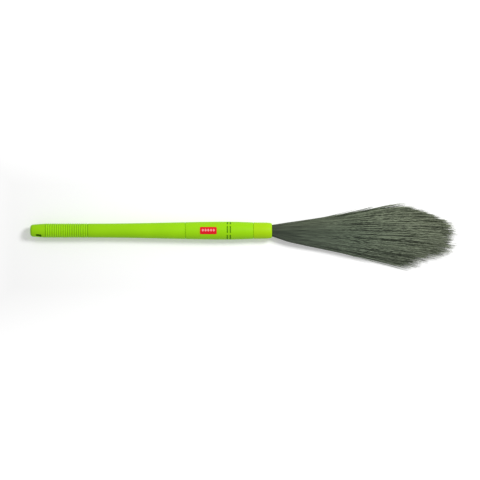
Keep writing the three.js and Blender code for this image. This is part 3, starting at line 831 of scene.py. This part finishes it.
def printed_film():
    """Satin printed film: deep red with a row of pale lozenges."""
    material, tree = new_material("printed_film")
    place = add(tree, "ShaderNodeTexCoord").outputs["Object"]
    flecks = add(tree, "ShaderNodeTexNoise", {"Vector": place, "Scale": 1 / INK_FLECKS, "Detail": 2.0})
    deep, bright = colour("#D81020"), colour("#EA1826")
    red = add(tree, "ShaderNodeMix", {0: flecks, 6: deep, 7: bright}, data_type="RGBA")
    ink = {0: lozenge_row(tree, place), 6: red, 7: colour("#F4A49E")}
    tone = add(tree, "ShaderNodeMix", ink, data_type="RGBA")
    polish = add(tree, "ShaderNodeMapRange", {0: flecks, **FILM_POLISH})
    film = {"Base Color": tone, "Roughness": polish, "IOR": 1.5, "Specular IOR Level": 0.15}
    return finished(material, film)


# %% [markdown]
# The film bends round the barrel, so a flat plane would cut into it at the edges. Here it is a grid of rows
# along the handle, each row as long as the rounded outline lets it be, and every point is laid on the
# barrel's own curve. A Solidify modifier gives the film its thickness.

# %% Label film
LABEL_LENGTH = 39.5
LABEL_WIDTH = 17.4
LABEL_CORNER = 2.0
LABEL_THICKNESS = 0.25
LABEL_ROWS = 40
LABEL_STEPS = 60
HALVINGS = 40


def barrel_radius(mm_along):
    """The socket's outer radius on its rise to the belly. Halving finds the place on its curve."""
    start, belly = SOCKET_START + CHAMFER, SOCKET_END - BELLY_INSET
    share = (mm_along - start) / (belly - start)
    pull = (SOCKET_RISE - CHAMFER) / (belly - start)
    low, high = 0.0, 1.0
    for _ in range(HALVINGS):
        middle = (low + high) / 2
        reached = 2 * middle * (1 - middle) * pull + middle * middle
        low, high = (middle, high) if reached < share else (low, middle)
    return BELLY_RADIUS - (BELLY_RADIUS - TUBE_END_RADIUS) * (1 - low) ** 2


def label_film():
    """A rounded rectangle laid on the barrel, one film thick."""
    points = []
    for row in range(LABEL_ROWS + 1):
        across = (row / LABEL_ROWS - 0.5) * LABEL_WIDTH
        into_corner = max(0.0, abs(across) - (LABEL_WIDTH / 2 - LABEL_CORNER))
        shortening = LABEL_CORNER - math.sqrt(max(0.0, LABEL_CORNER**2 - into_corner**2))
        for step in range(LABEL_STEPS + 1):
            lengthwise = LABEL_MIDDLE + (step / LABEL_STEPS - 0.5) * (LABEL_LENGTH - 2 * shortening)
            radius = barrel_radius(lengthwise)
            points.append(on_handle(lengthwise, radius, across / radius))
    width = LABEL_STEPS + 1
    cells = [row * width + step for row in range(LABEL_ROWS) for step in range(LABEL_STEPS)]
    mesh = bpy.data.meshes.new("label_film")
    mesh.from_pydata(points, [], [(cell, cell + width, cell + width + 1, cell + 1) for cell in cells])
    mesh.materials.append(printed_film())
    film = new_piece("label_film", mesh)
    thick = film.modifiers.new("thickness", "SOLIDIFY")
    thick.thickness = LABEL_THICKNESS * MM
    thick.offset = 1.0
    return as_plain_mesh(film)


dressed(label_film(), "label_film")

# %% [markdown]
# ## Bristle fibre
# The fan is made of drawn plastic fibre in a dark grey green. Seen together, fibres are never one colour:
# they lie in fine rows, and the crest of a row is in the light and the furrow beside it in shade. The tree
# below stores a vector on every point: a number for its lock, its slope to the side and its reach from mouth
# to tip. Near the mouth, where the fibres are packed, a noise that is stretched along them draws long
# streaks. Where the fan has opened, a wave over the slope paints furrows of light and shade, which waver on
# their way out. A Wave texture repeats every pi / 10. Real rows are finer than a picture of the whole broom
# can show, so both are drawn as coarse as they need to show. They spread with the fan, so their widths are
# given at one distance, where it has opened. A noise over the lock and the reach adds painted glints in
# dashes, where a fibre twists. The roots are darker, where they are packed, and the tips are rubbed paler.
# The back of the fan, on the lamp's side, is painted paler: painted light.

# %% Drawn fibre
BRISTLE_LENGTH = 447 * MM
OPEN_FAN = 300 * MM
STREAK_WIDTH = 2.5 * MM
STREAK_LENGTH = 45 * MM
STREAK_RANGE = {1: 0.3, 2: 0.7}
FURROW_WIDTH = 4.5 * MM
ROW_SHARE = 0.7
WAVE_PERIOD = math.pi / 10
WAVER = 4.0
WAVER_LENGTH = 11 * MM
LOCK_WAVER = 0.5
OPENING = {1: 0.15, 2: 0.45}
DASH_LENGTH = 14 * MM
TRACKS_APART = 40.0
TRACK_TURN = (0.0, 0.6, 0.0)
SHADE_RANGE = {1: 0.1, 2: 0.9}
FRESH_TONES = ("#1A2219", "#88967F")
# Paler tones, for rubbed tips and for painted light on the back of the fan.
FADED_AND_PAINTED_LIGHT_TONES = ("#454C3C", "#B2BA9F")
PACKED_TONE = "#2A3129"
PACKED_NEAR = {1: 0.0, 2: 0.4, 3: 0.78, 4: 0.0}
WORN_FAR = {1: 0.45, 2: 1.0, 3: 0.0, 4: 0.9}
# Painted light: the back of the fan, on the lamp's side, is made paler.
BACK_PAINTED_LIGHT = {1: 0.02, 2: -0.1, 3: 0.0, 4: 0.3}
FIBRE_POLISH = {3: 0.62, 4: 0.5}


def fibre_rows(tree, strand, reach):
    """Light and dark along the fan: long streaks where it is packed, then furrows where it has opened."""
    lengthwise = {"Scale": (1.0, OPEN_FAN / STREAK_WIDTH, BRISTLE_LENGTH / STREAK_LENGTH)}
    packed = add(tree, "ShaderNodeMapping", {"Vector": strand, **lengthwise})
    noise = add(tree, "ShaderNodeTexNoise", {"Vector": packed, "Scale": 1.0, "Detail": 2.0})
    streak = add(tree, "ShaderNodeMapRange", {0: noise, **STREAK_RANGE})
    across = {"Scale": (LOCK_WAVER, OPEN_FAN / FURROW_WIDTH * WAVE_PERIOD, BRISTLE_LENGTH / WAVER_LENGTH)}
    opened = add(tree, "ShaderNodeMapping", {"Vector": strand, **across})
    comb = {"Vector": opened, "Scale": 1.0, "Distortion": WAVER}
    furrow = add(tree, "ShaderNodeTexWave", comb, bands_direction="Y").outputs["Fac"]
    opening = add(tree, "ShaderNodeMapRange", {0: reach, **OPENING})
    return add(tree, "ShaderNodeMix", {0: opening, 2: streak, 3: furrow})


def fibre_glints(tree, strand):
    """Short dashes, on a track of its own for each lock."""
    by_lock = {"Scale": (TRACKS_APART, 0.0, BRISTLE_LENGTH / DASH_LENGTH), "Rotation": TRACK_TURN}
    track = add(tree, "ShaderNodeMapping", {"Vector": strand, **by_lock})
    return add(tree, "ShaderNodeTexNoise", {"Vector": track, "Scale": 1.0, "Detail": 1.0})


def drawn_fibre():
    """Drawn polyester fibre: dark grey green and satin, in fine light and dark rows."""
    material, tree = new_material("drawn_fibre")
    strand = add(tree, "ShaderNodeAttribute", attribute_name="strand").outputs["Vector"]
    place = add(tree, "ShaderNodeSeparateXYZ", {0: strand}).outputs
    row = fibre_rows(tree, strand, place["Z"])
    both = add(tree, "ShaderNodeMix", {0: ROW_SHARE, 2: fibre_glints(tree, strand), 3: row})
    shade = add(tree, "ShaderNodeMapRange", {0: both, **SHADE_RANGE})
    tones = [{0: shade, 6: colour(dark), 7: colour(pale)} for dark, pale in (FRESH_TONES, FADED_AND_PAINTED_LIGHT_TONES)]
    fresh, faded_and_painted_light = [add(tree, "ShaderNodeMix", tone, data_type="RGBA") for tone in tones]
    near = add(tree, "ShaderNodeMapRange", {0: place["Z"], **PACKED_NEAR})
    packed = add(tree, "ShaderNodeMix", {0: near, 6: fresh, 7: colour(PACKED_TONE)}, data_type="RGBA")
    far = add(tree, "ShaderNodeMapRange", {0: place["Z"], **WORN_FAR})
    # Painted light on the back of the fan, added to the paler tips.
    back = add(tree, "ShaderNodeMapRange", {0: place["Y"], **BACK_PAINTED_LIGHT})
    painted_light_and_paling = add(tree, "ShaderNodeMath", {0: far, 1: back}, operation="ADD")
    tone_with_painted_light_and_paling = add(tree, "ShaderNodeMix", {0: painted_light_and_paling, 6: packed, 7: faded_and_painted_light}, data_type="RGBA")
    polish = add(tree, "ShaderNodeMapRange", {0: shade, **FIBRE_POLISH})
    thread = {"Base Color": tone_with_painted_light_and_paling, "Roughness": polish, "IOR": 1.53, "Specular IOR Level": 0.3}
    return finished(material, thread)


fibre = drawn_fibre()
print("made", fibre.name)

# %% [markdown]
# ## The fan of bristles
# Thousands of fibres leave the collar as a round bundle, spread to both sides and settle on the floor. They
# could be a hair system, but the export needs real faces, so a Geometry Nodes tree makes them from the sizes
# below. These are close to the sizes of the CAD fan, so the fibres fill the space that its solids hold. They
# are set so that the loosened fibres, and not the bare rule, reach as far as on the real broom. Lengths
# become metres here, and a curl, which is a length for each square of a length, becomes a number for each
# metre. Low and high are the heights in the round bundle, whose radius is 1, between which fibres are made.

# %% Sizes of the fan
LAYER_CUTS = (-1.2, -0.4, 0.0, 0.4, 1.2)
ROOT_SINK = 3.0
FAN = {
    "Front Slope": 0.206,
    "Back Slope": 0.149,
    "Front Flare": 5.2 * MM,
    "Back Flare": 0.0,
    "Flare Length": 40 * MM,
    "Front Curl": 0.0002 / MM,
    "Back Curl": 0.0007 / MM,
    "Sweep": 0.00014 / MM,
    "Turn Start": 250 * MM,
    "Droop Length": 250 * MM,
    "Crown Height": 40 * MM,
    "Crown Fall": 0.35,
    "Edge Height": 3.4 * MM,
    "Clearance": 0.6 * MM,
    "Mouth X": on_handle(MOUTH, 0).x,
    "Axis Y": AXIS_Y,
    "Axis Z": AXIS_Z,
    "Root Depth": (MOUTH - ROOT_FACE + ROOT_SINK) * MM,
    "Bundle Radius": 13.4 * MM,
    "Bristle Length": BRISTLE_LENGTH,
    "Side Length": 344 * MM,
    "Low": LAYER_CUTS[0],
    "High": LAYER_CUTS[-1],
    "Fibre Radius": 0.7 * MM,
    "Tufts": 7.0,
    "Tuft Pull": 0.28,
    "Tuft Point": 0.13,
    "Locks": 22.0,
    "Lock Pull": 0.5,
    "Ragged": 0.045,
    "Shortening": 0.4,
    "Fray": 0.06,
    "Wander": 5 * MM,
    "Weave": 1.5 * MM,
    "Weave Length": 80 * MM,
    "Stray": 13 * MM,
    "Count": 7000,
    "Steps": 19,
    "Sides": 3,
    "Seed": 3,
    "Material": fibre,
}
print("a fan of", FAN["Count"], "fibres, up to", round(BRISTLE_LENGTH / MM), "mm long")

# %% [markdown]
# The tree starts from one straight line, copies it once for each fibre and gives each copy a place (u, v) in
# the round bundle. A rule then bends every line: the half width grows with the distance from the mouth, the
# underside settles on the floor and the upper side becomes a crown. Each of the functions below adds one part
# of it.

# %% Fibres and their places in the bundle
GOLDEN_ANGLE = math.pi * (3 - math.sqrt(5))


def straight_fibres(tree, size):
    """One straight line with points, copied once for each fibre. The copies are numbered."""
    line = add(tree, "GeometryNodeCurvePrimitiveLine", {"End": (1.0, 0.0, 0.0)})
    stepped = add(tree, "GeometryNodeResampleCurve", {"Curve": line, "Count": size["Steps"]})
    amount = {"Geometry": stepped, "Amount": size["Count"]}
    return add(tree, "GeometryNodeDuplicateElements", amount, domain="SPLINE").outputs


def bundle_place(tree, size, number):
    """A place on an even spiral in the round bundle for each fibre: u to the front and v to the top."""
    filled = add(tree, "ShaderNodeMath", {0: number, 1: size["Count"]}, operation="DIVIDE")
    radius = add(tree, "ShaderNodeMath", {0: filled}, operation="SQRT")
    angle = add(tree, "ShaderNodeMath", {0: number, 1: GOLDEN_ANGLE}, operation="MULTIPLY")
    cosine = add(tree, "ShaderNodeMath", {0: angle}, operation="COSINE")
    sine = add(tree, "ShaderNodeMath", {0: angle}, operation="SINE")
    way = add(tree, "ShaderNodeCombineXYZ", {"X": cosine, "Y": sine})
    return add(tree, "ShaderNodeVectorMath", {0: way, "Scale": radius}, operation="SCALE")


def own_numbers(tree, size, number):
    """Three numbers from -1 to 1 of each fibre's own."""
    seed = add(tree, "FunctionNodeIntegerMath", {0: size["Seed"], 1: 1}, operation="ADD")
    draw = {0: (-1.0, -1.0, -1.0), 1: (1.0, 1.0, 1.0), "ID": number, "Seed": seed}
    return add(tree, "FunctionNodeRandomValue", draw, data_type="FLOAT_VECTOR")


def only_layer(tree, size, fibres, spot):
    """The fibres between the layer's two cuts."""
    v = add(tree, "ShaderNodeSeparateXYZ", {0: spot}).outputs["Y"]
    below = add(tree, "FunctionNodeCompare", {0: v, 1: size["Low"]}, operation="LESS_THAN")
    above = add(tree, "FunctionNodeCompare", {0: v, 1: size["High"]}, operation="GREATER_EQUAL")
    outside = add(tree, "FunctionNodeBooleanMath", {0: below, 1: above}, operation="OR")
    return add(tree, "GeometryNodeDeleteGeometry", {"Geometry": fibres, "Selection": outside}, domain="CURVE")


# %% [markdown]
# Fibres hang together. Small locks cling to each other and larger tufts hold many locks, so two Voronoi
# patterns across the bundle say which lock and which tuft a fibre belongs to. The pattern of the tufts is
# squeezed in height, which makes each tuft a tall slice whose point shows from above. The middle of the fan
# is cut blunt and its sides are shorter, a little more so at the front. A tuft comes to a point, because its
# outer fibres are shorter, and some locks end early, so that tips show all over the fan.

# %% How long the fibres are, and how they hang together
BLUNT_MIDDLE = -0.03
BLUNT_SHARE = 0.36
TUFT_SQUEEZE = (1.0, 0.35, 1.0)
EARLY_LOCKS = {1: 0.5, 2: 1.0, 3: 0.0}
FRAYED_FIBRES = {1: -1.0, 2: 1.0, 3: 0.0}
DRAWN_TIPS = {1: 0.4, 2: 1.0, 3: 0.0}


def share_of_length(tree, size):
    """From 0 at the mouth to 1 at the tip. The first point, down in the root, counts as at the mouth."""
    index = add(tree, "GeometryNodeSplineParameter").outputs["Index"]
    past_root = add(tree, "ShaderNodeMath", {0: index, 1: 1.0}, operation="SUBTRACT")
    last = add(tree, "ShaderNodeMath", {0: size["Steps"], 1: 2.0}, operation="SUBTRACT")
    return add(tree, "ShaderNodeMath", {0: past_root, 1: last}, operation="DIVIDE", use_clamp=True)


def distance_out(tree, size, spot, own, tufts, locks, share):
    """How far past the mouth a point is, in metres."""
    u = add(tree, "ShaderNodeSeparateXYZ", {0: spot}).outputs["X"]
    leaning = add(tree, "ShaderNodeMath", {0: u, 1: BLUNT_MIDDLE}, operation="SUBTRACT")
    aside = add(tree, "ShaderNodeMath", {0: leaning}, operation="ABSOLUTE")
    cut = {0: aside, 1: BLUNT_SHARE, 2: 1.0, 3: size["Bristle Length"], 4: size["Side Length"]}
    full = add(tree, "ShaderNodeMapRange", cut, interpolation_type="SMOOTHSTEP")
    tuft = add(tree, "FunctionNodeSeparateColor", {0: tufts.outputs["Color"]}).outputs["Red"]
    ragged = add(tree, "ShaderNodeMath", {0: tuft, 1: size["Ragged"]}, operation="MULTIPLY")
    pointing = {0: tufts.outputs["Distance"], 1: size["Tuft Point"], 2: ragged}
    pointed = add(tree, "ShaderNodeMath", pointing, operation="MULTIPLY_ADD")
    lock = add(tree, "FunctionNodeSeparateColor", {0: locks.outputs["Color"]}).outputs["Green"]
    short = add(tree, "ShaderNodeMapRange", {0: lock, **EARLY_LOCKS, 4: size["Shortening"]})
    habit = add(tree, "ShaderNodeSeparateXYZ", {0: own}).outputs["Y"]
    frayed = add(tree, "ShaderNodeMapRange", {0: habit, **FRAYED_FIBRES, 4: size["Fray"]})
    early = add(tree, "ShaderNodeMath", {0: short, 1: frayed}, operation="ADD")
    lost = add(tree, "ShaderNodeMath", {0: pointed, 1: early}, operation="ADD")
    kept = add(tree, "ShaderNodeMath", {0: 1.0, 1: lost}, operation="SUBTRACT")
    length = add(tree, "ShaderNodeMath", {0: full, 1: kept}, operation="MULTIPLY")
    return add(tree, "ShaderNodeMath", {0: length, 1: share}, operation="MULTIPLY")


def drawn_together(tree, size, spot, tufts, locks, share):
    """Towards its tip, a fibre is drawn to the middle of its lock and a little to that of its tuft."""
    lock_pull = add(tree, "ShaderNodeMapRange", {0: share, **DRAWN_TIPS, 4: size["Lock Pull"]})
    lock = {0: lock_pull, 4: spot, 5: locks.outputs["Position"]}
    in_lock = add(tree, "ShaderNodeMix", lock, data_type="VECTOR")
    square = add(tree, "ShaderNodeMath", {0: share, 1: 2.0}, operation="POWER")
    tuft_pull = add(tree, "ShaderNodeMath", {0: square, 1: size["Tuft Pull"]}, operation="MULTIPLY")
    unsqueezed = {0: tufts.outputs["Position"], 1: TUFT_SQUEEZE}
    tuft_middle = add(tree, "ShaderNodeVectorMath", unsqueezed, operation="DIVIDE")
    tuft = {0: tuft_pull, 4: in_lock, 5: tuft_middle}
    return add(tree, "ShaderNodeMix", tuft, data_type="VECTOR")


# %% [markdown]
# The fan's own shape follows the CAD model's rule. Sideways, a fibre keeps its share u of the half width,
# which flares at the mouth on the front, opens more to the front and turns past a certain distance. Upwards,
# it keeps its share of the height between the underside, which droops from the round bundle to the floor, and
# the crown.

# %% The shape of the fan
FLATTEST_CHORD = 0.1


def of_own_side(tree, size, u, name):
    """A size of the fan's front on a fibre in front of the axis, and of its back on the others."""
    front = add(tree, "FunctionNodeCompare", {0: u, 1: 0.0}, operation="GREATER_THAN")
    sides = {0: front, 1: size["Back " + name], 2: size["Front " + name]}
    return add(tree, "GeometryNodeSwitch", sides, input_type="FLOAT")


def fan_side(tree, size, u, out):
    """How far a point is to the front of the axis."""
    slope, curl, flare = [of_own_side(tree, size, u, name) for name in ("Slope", "Curl", "Flare")]
    past_turn = add(tree, "ShaderNodeMath", {0: out, 1: size["Turn Start"]}, operation="SUBTRACT")
    turning = add(tree, "ShaderNodeMath", {0: past_turn, 1: 0.0}, operation="MAXIMUM")
    square = add(tree, "ShaderNodeMath", {0: turning, 1: 2.0}, operation="POWER")
    flared = add(tree, "ShaderNodeMapRange", {0: out, 2: size["Flare Length"], 4: flare})
    base = add(tree, "ShaderNodeMath", {0: flared, 1: size["Bundle Radius"]}, operation="ADD")
    opened = add(tree, "ShaderNodeMath", {0: slope, 1: out, 2: base}, operation="MULTIPLY_ADD")
    closed = add(tree, "ShaderNodeMath", {0: curl, 1: square}, operation="MULTIPLY")
    half_width = add(tree, "ShaderNodeMath", {0: opened, 1: closed}, operation="SUBTRACT")
    swept = add(tree, "ShaderNodeMath", {0: size["Sweep"], 1: square}, operation="MULTIPLY")
    return add(tree, "ShaderNodeMath", {0: u, 1: half_width, 2: swept}, operation="MULTIPLY_ADD")


def crown_height(tree, size, chord, out):
    """The height of the fan's upper side over the axis, once it has settled."""
    far = add(tree, "ShaderNodeMath", {0: out, 1: size["Bristle Length"]}, operation="DIVIDE")
    square = add(tree, "ShaderNodeMath", {0: far, 1: 2.0}, operation="POWER")
    fall = add(tree, "ShaderNodeMath", {0: square, 1: size["Crown Fall"]}, operation="MULTIPLY")
    stays = add(tree, "ShaderNodeMath", {0: 1.0, 1: fall}, operation="SUBTRACT")
    crown = add(tree, "ShaderNodeMath", {0: stays, 1: size["Crown Height"]}, operation="MULTIPLY")
    edge = add(tree, "ShaderNodeMath", {0: size["Edge Height"], 1: size["Axis Z"]}, operation="SUBTRACT")
    return add(tree, "ShaderNodeMath", {0: crown, 1: chord, 2: edge}, operation="MULTIPLY_ADD")


def fan_height(tree, size, u, v, out):
    """How far a point is above the axis."""
    square = add(tree, "ShaderNodeMath", {0: u, 1: u}, operation="MULTIPLY")
    rest = add(tree, "ShaderNodeMath", {0: 1.0, 1: square}, operation="SUBTRACT")
    positive = add(tree, "ShaderNodeMath", {0: rest, 1: FLATTEST_CHORD**2}, operation="MAXIMUM")
    chord = add(tree, "ShaderNodeMath", {0: positive}, operation="SQRT")
    round_top = add(tree, "ShaderNodeMath", {0: chord, 1: size["Bundle Radius"]}, operation="MULTIPLY")
    round_under = add(tree, "ShaderNodeMath", {0: round_top, 1: -1.0}, operation="MULTIPLY")
    flat_under = add(tree, "ShaderNodeMath", {0: size["Clearance"], 1: size["Axis Z"]}, operation="SUBTRACT")
    flat_top = crown_height(tree, size, chord, out)
    droop = {0: out, 2: size["Droop Length"]}
    settled = add(tree, "ShaderNodeMapRange", droop, interpolation_type="SMOOTHSTEP")
    under = add(tree, "ShaderNodeMix", {0: settled, 2: round_under, 3: flat_under})
    over = add(tree, "ShaderNodeMix", {0: settled, 2: round_top, 3: flat_top})
    level = add(tree, "ShaderNodeMath", {0: v, 1: chord}, operation="DIVIDE")
    level_share = add(tree, "ShaderNodeMath", {0: level, 1: 0.5, 2: 0.5}, operation="MULTIPLY_ADD")
    return add(tree, "ShaderNodeMix", {0: level_share, 2: under, 3: over})


def fan_place(tree, size, spot, out):
    """A point's place in the frame, with the first point of each fibre back in the root."""
    part = add(tree, "ShaderNodeSeparateXYZ", {0: spot}).outputs
    side = fan_side(tree, size, part["X"], out)
    height = fan_height(tree, size, part["X"], part["Y"], out)
    index = add(tree, "GeometryNodeSplineParameter").outputs["Index"]
    at_root = add(tree, "ShaderNodeMath", {0: index, 1: 0.5}, operation="LESS_THAN")
    back = add(tree, "ShaderNodeMath", {0: at_root, 1: size["Root Depth"]}, operation="MULTIPLY")
    ahead = add(tree, "ShaderNodeMath", {0: out, 1: back}, operation="SUBTRACT")
    x = add(tree, "ShaderNodeMath", {0: size["Mouth X"], 1: ahead}, operation="ADD")
    y = add(tree, "ShaderNodeMath", {0: size["Axis Y"], 1: side}, operation="SUBTRACT")
    z = add(tree, "ShaderNodeMath", {0: size["Axis Z"], 1: height}, operation="ADD")
    return add(tree, "ShaderNodeCombineXYZ", {"X": x, "Y": y, "Z": z})


# %% [markdown]
# A rule alone gives a combed fan. Three small moves loosen it: neighbours wander together, each lock weaves
# over and under the next on its way out, and every fibre strays a little by itself, a few of them far. The
# floor stops them all.

# %% Loosening the fan
NEIGHBOURHOOD = (4.0, 4.0, 9.0)
LOCKS_APART = 40.0
WEAVE_GROWTH = {1: 0.0, 2: 0.4, 3: 0.0}


def noise_move(tree, where, amount):
    """A smooth random move of a given size."""
    noise = add(tree, "ShaderNodeTexNoise", {"Vector": where, "Scale": 1.0, "Detail": 1.0}).outputs["Color"]
    centred = add(tree, "ShaderNodeVectorMath", {0: noise, 1: (0.5, 0.5, 0.5)}, operation="SUBTRACT")
    return add(tree, "ShaderNodeVectorMath", {0: centred, "Scale": amount}, operation="SCALE")


def wander(tree, size, spot, out, share):
    """A move that neighbours share."""
    ahead = add(tree, "ShaderNodeCombineXYZ", {"Z": out})
    place = add(tree, "ShaderNodeVectorMath", {0: spot, 1: ahead}, operation="ADD")
    where = add(tree, "ShaderNodeVectorMath", {0: place, 1: NEIGHBOURHOOD}, operation="MULTIPLY")
    amount = add(tree, "ShaderNodeMath", {0: share, 1: size["Wander"]}, operation="MULTIPLY")
    return noise_move(tree, where, amount)


def weave(tree, size, locks, out, share):
    """A move of each lock by itself, over and under its neighbours."""
    colours = locks.outputs["Color"]
    lock = add(tree, "ShaderNodeVectorMath", {0: colours, "Scale": LOCKS_APART}, operation="SCALE")
    waves = add(tree, "ShaderNodeMath", {0: out, 1: size["Weave Length"]}, operation="DIVIDE")
    ahead = add(tree, "ShaderNodeCombineXYZ", {"Z": waves})
    where = add(tree, "ShaderNodeVectorMath", {0: lock, 1: ahead}, operation="ADD")
    amount = add(tree, "ShaderNodeMapRange", {0: share, **WEAVE_GROWTH, 4: size["Weave"]})
    return noise_move(tree, where, amount)


def stray(tree, size, own, share):
    """A move of each fibre by itself. The fifth power of a number makes most of them small."""
    square = add(tree, "ShaderNodeVectorMath", {0: own, 1: own}, operation="MULTIPLY")
    fourth = add(tree, "ShaderNodeVectorMath", {0: square, 1: square}, operation="MULTIPLY")
    fifth = add(tree, "ShaderNodeVectorMath", {0: fourth, 1: own}, operation="MULTIPLY")
    growth = add(tree, "ShaderNodeMath", {0: share, 1: 3.0}, operation="POWER")
    amount = add(tree, "ShaderNodeMath", {0: growth, 1: size["Stray"]}, operation="MULTIPLY")
    return add(tree, "ShaderNodeVectorMath", {0: fifth, "Scale": amount}, operation="SCALE")


def over_floor(tree, size, place):
    """The place, or just above the floor where it would be lower."""
    part = add(tree, "ShaderNodeSeparateXYZ", {0: place}).outputs
    height = add(tree, "ShaderNodeMath", {0: part["Z"], 1: size["Clearance"]}, operation="MAXIMUM")
    return add(tree, "ShaderNodeCombineXYZ", {"X": part["X"], "Y": part["Y"], "Z": height})


# %% [markdown]
# The last function puts the parts together. It also stores what the material reads, and gives each line its
# thickness: fine where the bundle is packed, fuller in the fan, where each one stands for a few hairs, and
# narrow at the tip.

# %% The whole tree
OWN_SHIFT = 0.3
PACKED_THIN = {1: 0.0, 2: 0.3, 3: 0.4, 4: 1.0}
TIP_TAPER = {1: 0.75, 2: 1.0, 3: 1.0, 4: 0.3}


def strand_numbers(tree, size, spot, locks, own, reach):
    """What the material reads: the lock's number, shifted by the fibre, its slope aside and the reach."""
    u = add(tree, "ShaderNodeSeparateXYZ", {0: spot}).outputs["X"]
    lock = add(tree, "FunctionNodeSeparateColor", {0: locks.outputs["Color"]}).outputs["Red"]
    habit = add(tree, "ShaderNodeSeparateXYZ", {0: own}).outputs["X"]
    shifted = add(tree, "ShaderNodeMath", {0: habit, 1: OWN_SHIFT, 2: lock}, operation="MULTIPLY_ADD")
    slope = of_own_side(tree, size, u, "Slope")
    aside = add(tree, "ShaderNodeMath", {0: u, 1: slope}, operation="MULTIPLY")
    return add(tree, "ShaderNodeCombineXYZ", {"X": shifted, "Y": aside, "Z": reach})


def fibre_thickness(tree, size, reach, share):
    """The radius along a fibre."""
    growth = add(tree, "ShaderNodeMapRange", {0: reach, **PACKED_THIN})
    taper = add(tree, "ShaderNodeMapRange", {0: share, **TIP_TAPER})
    both = add(tree, "ShaderNodeMath", {0: growth, 1: taper}, operation="MULTIPLY")
    return add(tree, "ShaderNodeMath", {0: both, 1: size["Fibre Radius"]}, operation="MULTIPLY")


def bristle_tree():
    """The fibres of one layer of the bundle, spread into the fan."""
    tree, given = new_tree("bristle_layer", FAN)
    size = given.outputs
    copies = straight_fibres(tree, size)
    spot = bundle_place(tree, size, copies["Duplicate Index"])
    own = own_numbers(tree, size, copies["Duplicate Index"])
    layer = only_layer(tree, size, copies["Geometry"], spot)
    squeezed = add(tree, "ShaderNodeVectorMath", {0: spot, 1: TUFT_SQUEEZE}, operation="MULTIPLY")
    groups = ({"Vector": squeezed, "Scale": size["Tufts"]}, {"Vector": spot, "Scale": size["Locks"]})
    tufts, locks = [add(tree, "ShaderNodeTexVoronoi", group, voronoi_dimensions="2D") for group in groups]

    share = share_of_length(tree, size)
    out = distance_out(tree, size, spot, own, tufts, locks, share)
    place = fan_place(tree, size, drawn_together(tree, size, spot, tufts, locks, share), out)
    together, apart = wander(tree, size, spot, out, share), weave(tree, size, locks, out, share)
    for move in (together, apart, stray(tree, size, own, share)):
        place = add(tree, "ShaderNodeVectorMath", {0: place, 1: move}, operation="ADD")
    laid = {"Geometry": layer, "Position": over_floor(tree, size, place)}
    fan = add(tree, "GeometryNodeSetPosition", laid)

    reach = add(tree, "ShaderNodeMath", {0: out, 1: size["Bristle Length"]}, operation="DIVIDE")
    numbers = strand_numbers(tree, size, spot, locks, own, reach)
    noted = {"Geometry": fan, "Name": "strand", "Value": numbers}
    marked = add(tree, "GeometryNodeStoreNamedAttribute", noted, data_type="FLOAT_VECTOR")
    section = add(tree, "GeometryNodeCurvePrimitiveCircle", {"Resolution": size["Sides"], "Radius": 1.0})
    skin = {"Curve": marked, "Profile Curve": section, "Fill Caps": True}
    skin["Scale"] = fibre_thickness(tree, size, reach, share)
    end_tree(tree, given, add(tree, "GeometryNodeCurveToMesh", skin))
    return tree


# %% [markdown]
# The bundle is four layers in the CAD model, one over another. The tree runs once for each of them, between
# two cuts and with the same seed, so that together they are one bundle.

# %% Four layers of fibres
LAYERS = ("bottom", "lower", "upper", "top")

fan_rule = bristle_tree()
for layer, low, high in zip(LAYERS, LAYER_CUTS, LAYER_CUTS[1:]):
    seedbed = new_piece("fibres_" + layer, bpy.data.meshes.new("fibres_" + layer))
    fibres = run_tree(seedbed, fan_rule, {**FAN, "Low": low, "High": high})
    dressed(fibres, "bristle_fibre", "bristles_" + layer)

# %% [markdown]
# ## Measure and finish
# Both boxes, of the CAD model and of the dressed broom, are printed in millimetres. The dressed broom
# has to stay inside the CAD model's box, apart from a little that soft parts may stand proud.

# %% Sizes and the end
boxes = {"cad": CAD_BOX, "visual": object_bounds()}
for name, box in boxes.items():
    print(name, "box in mm", [[round(value / MM, 1) for value in corner] for corner in box])
